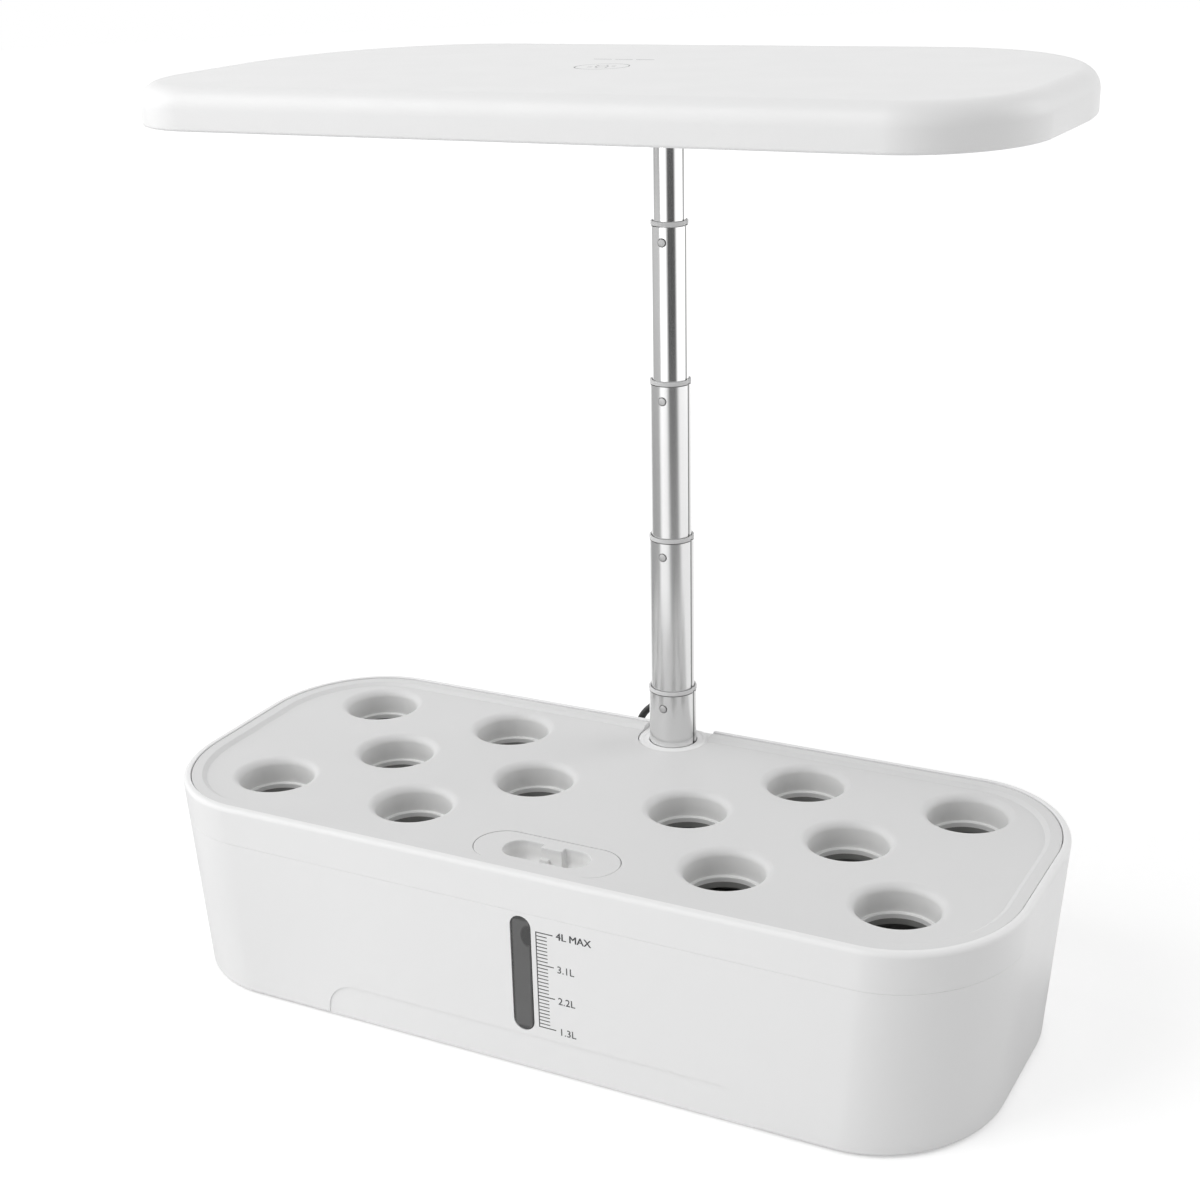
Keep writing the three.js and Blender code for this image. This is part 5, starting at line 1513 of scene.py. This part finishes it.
@dataclass
class Pole:
    """Five nested tubes with stop rings, lock buttons, leaf springs and the lamp's lead."""

    wall: float = 0.5
    key_depth: float = 0.75
    key_half: float = 1.7
    stages: list[Stage] = field(default_factory=lambda: [
        Stage("base", Body.BASE, 0, 7.6, 117.4, None, 111.0),
        Stage("lower", Body.LOWER, 1, 103.0, 191.4, 111.0, 185.0),
        Stage("middle", Body.MIDDLE, 2, 177.0, 263.2, 185.0, 256.8),
        Stage("upper", Body.UPPER, 3, 248.8, 332.0, 256.8, 325.6),
        Stage("top", Body.TOP, 4, 317.6, 393.3, 325.6, None),
    ])

    def keyed(self, name: str, radius: float, low: float, high: float) -> bpy.types.Object:
        """Return an open tube wall with one rounded key groove on its +X side."""
        axis = at(0, POLE_Y, low)
        piece = Bench.ring(name, 120, Vector((0, 0, 0)))
        half = self.key_half / radius
        with Bench.editing(piece):
            bpy.ops.mesh.select_all(action="SELECT")
            bpy.ops.transform.resize(value=(radius * MM, radius * MM, 1), center_override=(0, 0, 0))
            mesh = bmesh.from_edit_mesh(piece.data)
            inward = {v.index: math.atan2(v.co.y, v.co.x) for v in mesh.verts}
            for index, angle in inward.items():
                if abs(angle) >= half:
                    continue
                Bench.pick(piece, lambda v: v.index == index)
                depth = self.key_depth * math.cos(angle / half * QUARTER) ** 2 * MM
                bpy.ops.transform.translate(value=(-depth * math.cos(angle), -depth * math.sin(angle), 0))
            bpy.ops.mesh.select_all(action="SELECT")
            bpy.ops.transform.translate(value=axis)
            bpy.ops.mesh.extrude_region_move(TRANSFORM_OT_translate={"value": (0, 0, (high - low) * MM)})
        return piece

    def tube(self, stage: Stage) -> None:
        """Build one tube and its button holes."""
        piece = self.keyed(f"pole_tube_{stage.name}", stage.radius, stage.low, stage.high)
        with Bench.editing(piece):
            bpy.ops.mesh.select_all(action="SELECT")
            bpy.ops.mesh.normals_make_consistent(inside=False)
        Bench.modify(piece, "SOLIDIFY", thickness=self.wall * MM, offset=-1.0)
        for z in (stage.button, stage.above):
            if z is not None:
                Bench.cut(piece, Bench.revolve("hole", [(0, 0), (2, 0), (2, 14), (0, 14)], at(0, POLE_Y, z), 32, (0, -1, 0)))
        if stage.index == 0:
            Bench.cut(piece, Bench.revolve("exit", [(0, 0), (2.9, 0), (2.9, 14), (0, 14)], at(0, POLE_Y, 98.3), 32, (0, 1, 0)))
        Bench.shade(piece)
        finish = (Finish.SATIN, Finish.SATIN, Finish.BRUSHED, Finish.CHROME, Finish.CHROME)[stage.index]
        dress(piece, finish, stage.body, "pole_chrome", f"tube_{stage.name}")

    def collar(self, stage: Stage) -> None:
        """Build the stop ring on a tube's upper end."""
        low = stage.high + 0.3
        ring = self.keyed(f"stop_ring_{stage.name}", stage.radius + 0.15, low, low + 1.9)
        with Bench.editing(ring):
            Bench.pick(ring, lambda v: v.co.z < at(0, 0, low + 1).z)
            bpy.ops.mesh.edge_face_add()
            Bench.pick(ring, lambda v: v.co.z > at(0, 0, low + 1).z)
            bpy.ops.mesh.edge_face_add()
            bpy.ops.mesh.select_all(action="SELECT")
            bpy.ops.mesh.normals_make_consistent(inside=False)
        bore = self.keyed("bore", stage.radius - 1 + 0.3, low - 1, low + 4)
        with Bench.editing(bore):
            Bench.pick(bore, lambda v: v.co.z < at(0, 0, low).z)
            bpy.ops.mesh.edge_face_add()
            Bench.pick(bore, lambda v: v.co.z > at(0, 0, low + 1).z)
            bpy.ops.mesh.edge_face_add()
            bpy.ops.mesh.select_all(action="SELECT")
            bpy.ops.mesh.normals_make_consistent(inside=False)
        Bench.cut(ring, bore)
        Bench.soften(ring, 0.3, 2, 50)
        Bench.shade(ring)
        dress(ring, Finish.COLLAR, stage.body, "collar_grey", f"collar_{stage.name}")

    def button(self, stage: Stage) -> None:
        """Build the lock button and the leaf behind it."""
        bore = stage.radius - self.wall
        reach = math.sqrt(bore ** 2 - 2.2 ** 2) - 0.3
        inner, tip = reach + 0.3, stage.radius + 1 + 0.5
        edge = [(1.45 + 0.25 * math.cos(a), tip - 0.4 + 0.3 * math.sin(a)) for a in (i / 4 * QUARTER for i in range(5))]
        profile = [(0, inner), (1.7, inner), *edge, (0.8, tip - 0.03), (0, tip)]
        knob = Bench.revolve(f"lock_button_{stage.name}", profile, at(0, POLE_Y, stage.button), 32, (0, -1, 0))
        Bench.shade(knob)
        knob.data.materials.clear()
        knob.data.materials.append(Finish.KNOB.material())
        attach(knob, f"button_{stage.name}")
        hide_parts(f"snap_button_{stage.name}")
        tuple(at(0, POLE_Y - inner, stage.button))
        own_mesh(knob)
        leaf = Bench.block(f"leaf_spring_{stage.name}", (4.4, 0.5, 8.4), at(0, POLE_Y - reach + 0.25, stage.button + 0.2))
        with Bench.editing(leaf):
            low = at(0, 0, stage.button - 3.9).z
            Bench.pick(leaf, lambda v: v.co.z < low)
            axis = at(0, POLE_Y - reach + 2.2, stage.button - 4.0)
            bpy.ops.mesh.spin(steps=6, angle=QUARTER, center=axis, axis=(1, 0, 0))
            bpy.ops.mesh.extrude_region_move(TRANSFORM_OT_translate={"value": (0, (reach - 2.2) * 2 * MM, 0)})
            axis = at(0, POLE_Y + reach - 2.2, stage.button - 4.0)
            bpy.ops.mesh.spin(steps=6, angle=QUARTER, center=axis, axis=(1, 0, 0))
            bpy.ops.mesh.extrude_region_move(TRANSFORM_OT_translate={"value": (0, 0, 8.4 * MM)})
            bpy.ops.mesh.select_all(action="SELECT")
            bpy.ops.mesh.normals_make_consistent(inside=False)
        Bench.shade(leaf)
        dress(leaf, Finish.SPRING, stage.body, "spring_steel", f"snap_spring_{stage.name}")
        far = tuple(at(0, POLE_Y + reach, stage.button))
        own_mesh(leaf)

    def leads(self) -> None:
        """Lay the lamp's lead in stretches along the tubes."""
        x, y = -5.1, POLE_Y
        spans = [("lower", 114.7, 188.4), ("middle", 188.7, 260.2), ("upper", 260.5, 329.0), ("top", 329.3, 395.2)]
        chain = [Body.LOWER, Body.MIDDLE, Body.UPPER, Body.TOP]
        for i, (name, low, high) in enumerate(spans):
            profile = [(0, low), *[(0.9, low + (high - low) * k / 24) for k in range(25)], (0, high)]
            piece = Bench.revolve(f"lamp_lead_{name}", profile, at(x, y, 0), 16)
            Bench.shade(piece)
            upper = chain[i + 1] if i < 3 else None
            self.lay(piece, f"lead_{name}", chain[i], upper, at(x, y, low), at(x, y, high))
        entry = [(0, 80.3, 98.3), (-2.55, 76.05, 99.2), (-5.1, 71.8, 103.4), (-5.1, 71.8, 108.9), (-5.1, 71.8, 114.4)]
        path = curve_through([tuple(at(*p)) for p in entry], 1 * MM)
        piece = tube("lamp_lead_entry", path, 0.9)
        Bench.only(piece)
        bpy.ops.object.convert(target="MESH")
        self.lay(piece, "lead_entry", Body.BASE, Body.LOWER, at(x, y, 100.0), at(x, y, 114.4))

    @staticmethod
    def lay(
        piece: bpy.types.Object, node: str, lower: Body, upper: Body | None, start: Vector, end: Vector
    ) -> None:
        """Finish one stretch of lead and let it follow one body, or leave it unattached where it lies when it spans
        two.

        Args:
            piece: the stretch.
            node: the CAD node that it stands for.
            lower: the body at its lower end.
            upper: the body at its upper end, or None for a stretch that rides on the first.
            start: where it leaves the lower body, not used.
            end: where it meets the upper body, not used.
        """
        piece.data.materials.clear()
        piece.data.materials.append(Finish.CORD.material())
        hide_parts(node)
        if upper is None:
            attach(piece, lower.value)
        else:
            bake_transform(piece)
        LOG.info("%s: lead for %s", piece.name, node)

    def grommet(self) -> None:
        """Build the tapered grommet where the cord leaves the pole."""
        profile = [
            (0, 10.5), (2.6, 10.5), (2.6, 11.3), (3.3, 11.3), (3.5, 11.5), (3.5, 12.1), (3.3, 12.3), (2.7, 12.3),
            (2.5, 13.0), (2.3, 14.6), (2.1, 14.8), (0, 14.8),
        ]
        piece = Bench.revolve("cord_gland", profile, at(0, POLE_Y, 98.3), 40, (0, 1, 0))
        Bench.shade(piece)
        dress(piece, Finish.CORD, Body.BASE, "cord_black", "cord_grommet")

    def build(self) -> None:
        """Build every stage of the pole."""
        for stage in self.stages:
            self.tube(stage)
            if stage.above is not None:
                self.collar(stage)
            if stage.button is not None:
                self.button(stage)
        self.leads()
        self.grommet()


# Lamp


@dataclass
class Lamp:
    """Slab lamp: shell, lower panel, light board, pole socket and screws."""

    under: float = 384.3
    thickness: float = 16.7
    wall: float = 2.0
    board: tuple[float, float] = (268.0, 96.0)
    board_y: float = POLE_Y - 80.0
    screws: tuple[tuple[float, float], ...] = ((-150, -118), (-112, 22), (150, -118), (112, 22))

    def shell(self) -> None:
        """Build the shell with its big rounded top edge, hollow from below, with four screw bosses."""
        top = self.under + self.thickness
        shell = Bench.loft("lamp_cover", LAMP_PLAN, [
            *round_bottom(1.2, self.under, 3), *round_top(8.4, top, 12),
        ], steps=28)
        hollow = Bench.loft("hollow", LAMP_PLAN, [
            (self.wall, self.under - 2), *round_top(6.4, top - self.wall, 6, self.wall),
        ], steps=28)
        Bench.cut(shell, hollow)
        bosses = []
        for x, y in self.screws:
            profile = [(1.6, self.under + 3.1), (3.6, self.under + 3.1), (3.6, top - 1), (1.6, top - 1)]
            bosses.append(Bench.revolve("boss", profile, at(x, POLE_Y + y, 0), 32, closed=True))
        Bench.merge(shell, *bosses)
        Bench.shade(shell)
        dress(shell, Finish.LAMP, Body.TOP, "lamp_white", "lamp_shell")

    def panel(self) -> None:
        """Build the lower panel with its light window, pole hole and screw holes."""
        low, high = self.under + 0.8, self.under + 2.8
        panel = Bench.loft("lamp_floor", LAMP_PLAN, [(2.5, low), (2.3, low + 0.2), (2.3, high)], steps=28)
        window = Bench.block("window", (self.board[0] - 8, self.board[1] - 8, 12), at(0, self.board_y, low))
        with Bench.editing(window):
            bpy.ops.mesh.select_all(action="SELECT")
            bpy.ops.mesh.bevel(offset=2 * MM, segments=5, affect="EDGES")
        Bench.cut(panel, window)
        Bench.cut(panel, Bench.revolve("hole", [(0, 0), (7.3, 0), (7.3, 20), (0, 20)], at(0, POLE_Y, low - 5), 56))
        for x, y in self.screws:
            profile = [(0, -3), (2.9, -3), (2.9, 1.5), (1.6, 1.5), (1.6, 9), (0, 9)]
            Bench.cut(panel, Bench.revolve("screw hole", profile, at(x, POLE_Y + y, low), 32))
        Bench.soften(panel, 0.25, 2, 50)
        Bench.shade(panel)
        dress(panel, Finish.PANEL, Body.TOP, "lamp_white", "lamp_panel")

    def lights(self) -> None:
        """Build the light board and its rows of chips, each with a domed yellow pane."""
        low = self.under + 3.1
        board = Bench.block("light_board", (*self.board, 1.6), at(0, self.board_y, low + 0.8))
        Bench.soften(board, 0.2, 2)
        chips, panes = [], []
        for i in range(30):
            x = (i % 10 - 4.5) * 25
            y = self.board_y + (i // 10 - 1) * 25
            chips.append((x, y))
        first = Bench.block("chip", (3.4, 3.4, 0.9), at(*chips[0], low - 0.44))
        Bench.soften(first, 0.15, 1)
        pane = Bench.revolve("pane", [(0, 0.86), (1.1, 0.8), (1.25, 0.6), (1.25, 0.3), (0, 0.3)], at(*chips[0], low), 20, (0, 0, -1))
        Bench.shade(pane)
        twins = [first]
        panes = [pane]
        for x, y in chips[1:]:
            shift = Matrix.Translation(at(x, y, 0) - at(*chips[0], 0))
            twins.append(Bench.copy(first, "chip", shift))
            panes.append(Bench.copy(pane, "pane", shift))
        Bench.merge(board, *twins)
        Bench.shade(board)
        dress(board, Finish.LIGHTS, Body.TOP, "board_white", "led_board")
        glow = Bench.merge(*panes)
        glow.name = glow.data.name = "light_panes"
        dress(glow, Finish.PHOSPHOR, Body.TOP, "board_white")

    def socket(self) -> None:
        """Build the boss that grips the top tube."""
        low = self.under + 3.1
        high = self.under + 10.9
        profile = [
            (7.3, low), (15.6, low), (15.9, low + 0.3), (15.9, low + 2), (10.2, low + 2), (9.9, low + 2.4), (9.9, high),
            (6.4, high), (6.4, high - 1.6), (7.3, high - 1.6),
        ]
        piece = Bench.revolve("lamp_boss", profile, at(0, POLE_Y, 0), 56, closed=True)
        Bench.shade(piece)
        dress(piece, Finish.PANEL, Body.TOP, "lamp_white", "lamp_pole_socket")

    def fasteners(self) -> None:
        """Turn one slotted screw and copy it to the four places."""
        low = self.under + 0.8
        x0, y0 = self.screws[0]
        profile = [(0, 0), (2.3, 0), (2.6, 0.3), (2.6, 1.2), (1.3, 1.2), (1.3, 7), (0, 7)]
        screw = Bench.revolve("panel_screw_1", profile, at(x0, POLE_Y + y0, low), 32)
        Bench.cut(screw, Bench.block("slot", (7, 0.7, 1.0), at(x0, POLE_Y + y0, low)))
        Bench.shade(screw)
        for i, (x, y) in enumerate(self.screws):
            shift = Matrix.Translation(at(x, y, 0) - at(x0, y0, 0))
            piece = screw if i == 0 else Bench.copy(screw, f"panel_screw_{i + 1}", shift)
            dress(piece, Finish.SCREW, Body.TOP, "screw_steel", f"lamp_screw_{i + 1}")

    def build(self) -> None:
        """Build the whole lamp."""
        self.shell()
        self.panel()
        self.lights()
        self.socket()
        self.fasteners()


# Main


def keep_solids(frame: dict) -> None:
    """Dress the CAD nodes that are kept as they are."""
    coat(frame, Finish.BLACK, "pump_body", "pump_cover", "cord_tie")
    coat(frame, Finish.IMPELLER, "pump_impeller")
    coat(frame, Finish.FOOT, "pump_cup_1", "pump_cup_2", "pump_cup_3", "pump_cup_4")
    coat(frame, Finish.CORD, "pump_lead")
    coat(frame, Finish.BOARD, "driver_board", "touch_board")


def main() -> None:
    """Build the garden and its studio."""
    logging.basicConfig(level=logging.INFO, format="%(message)s")
    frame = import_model()
    Studio().build()
    PowerLead().cord(frame)
    Tank().build()
    ScaleNumbers().build()
    Deck().build()
    Pole().build()
    Lamp().build()
    keep_solids(frame)


if __name__ == "__main__":
    main()
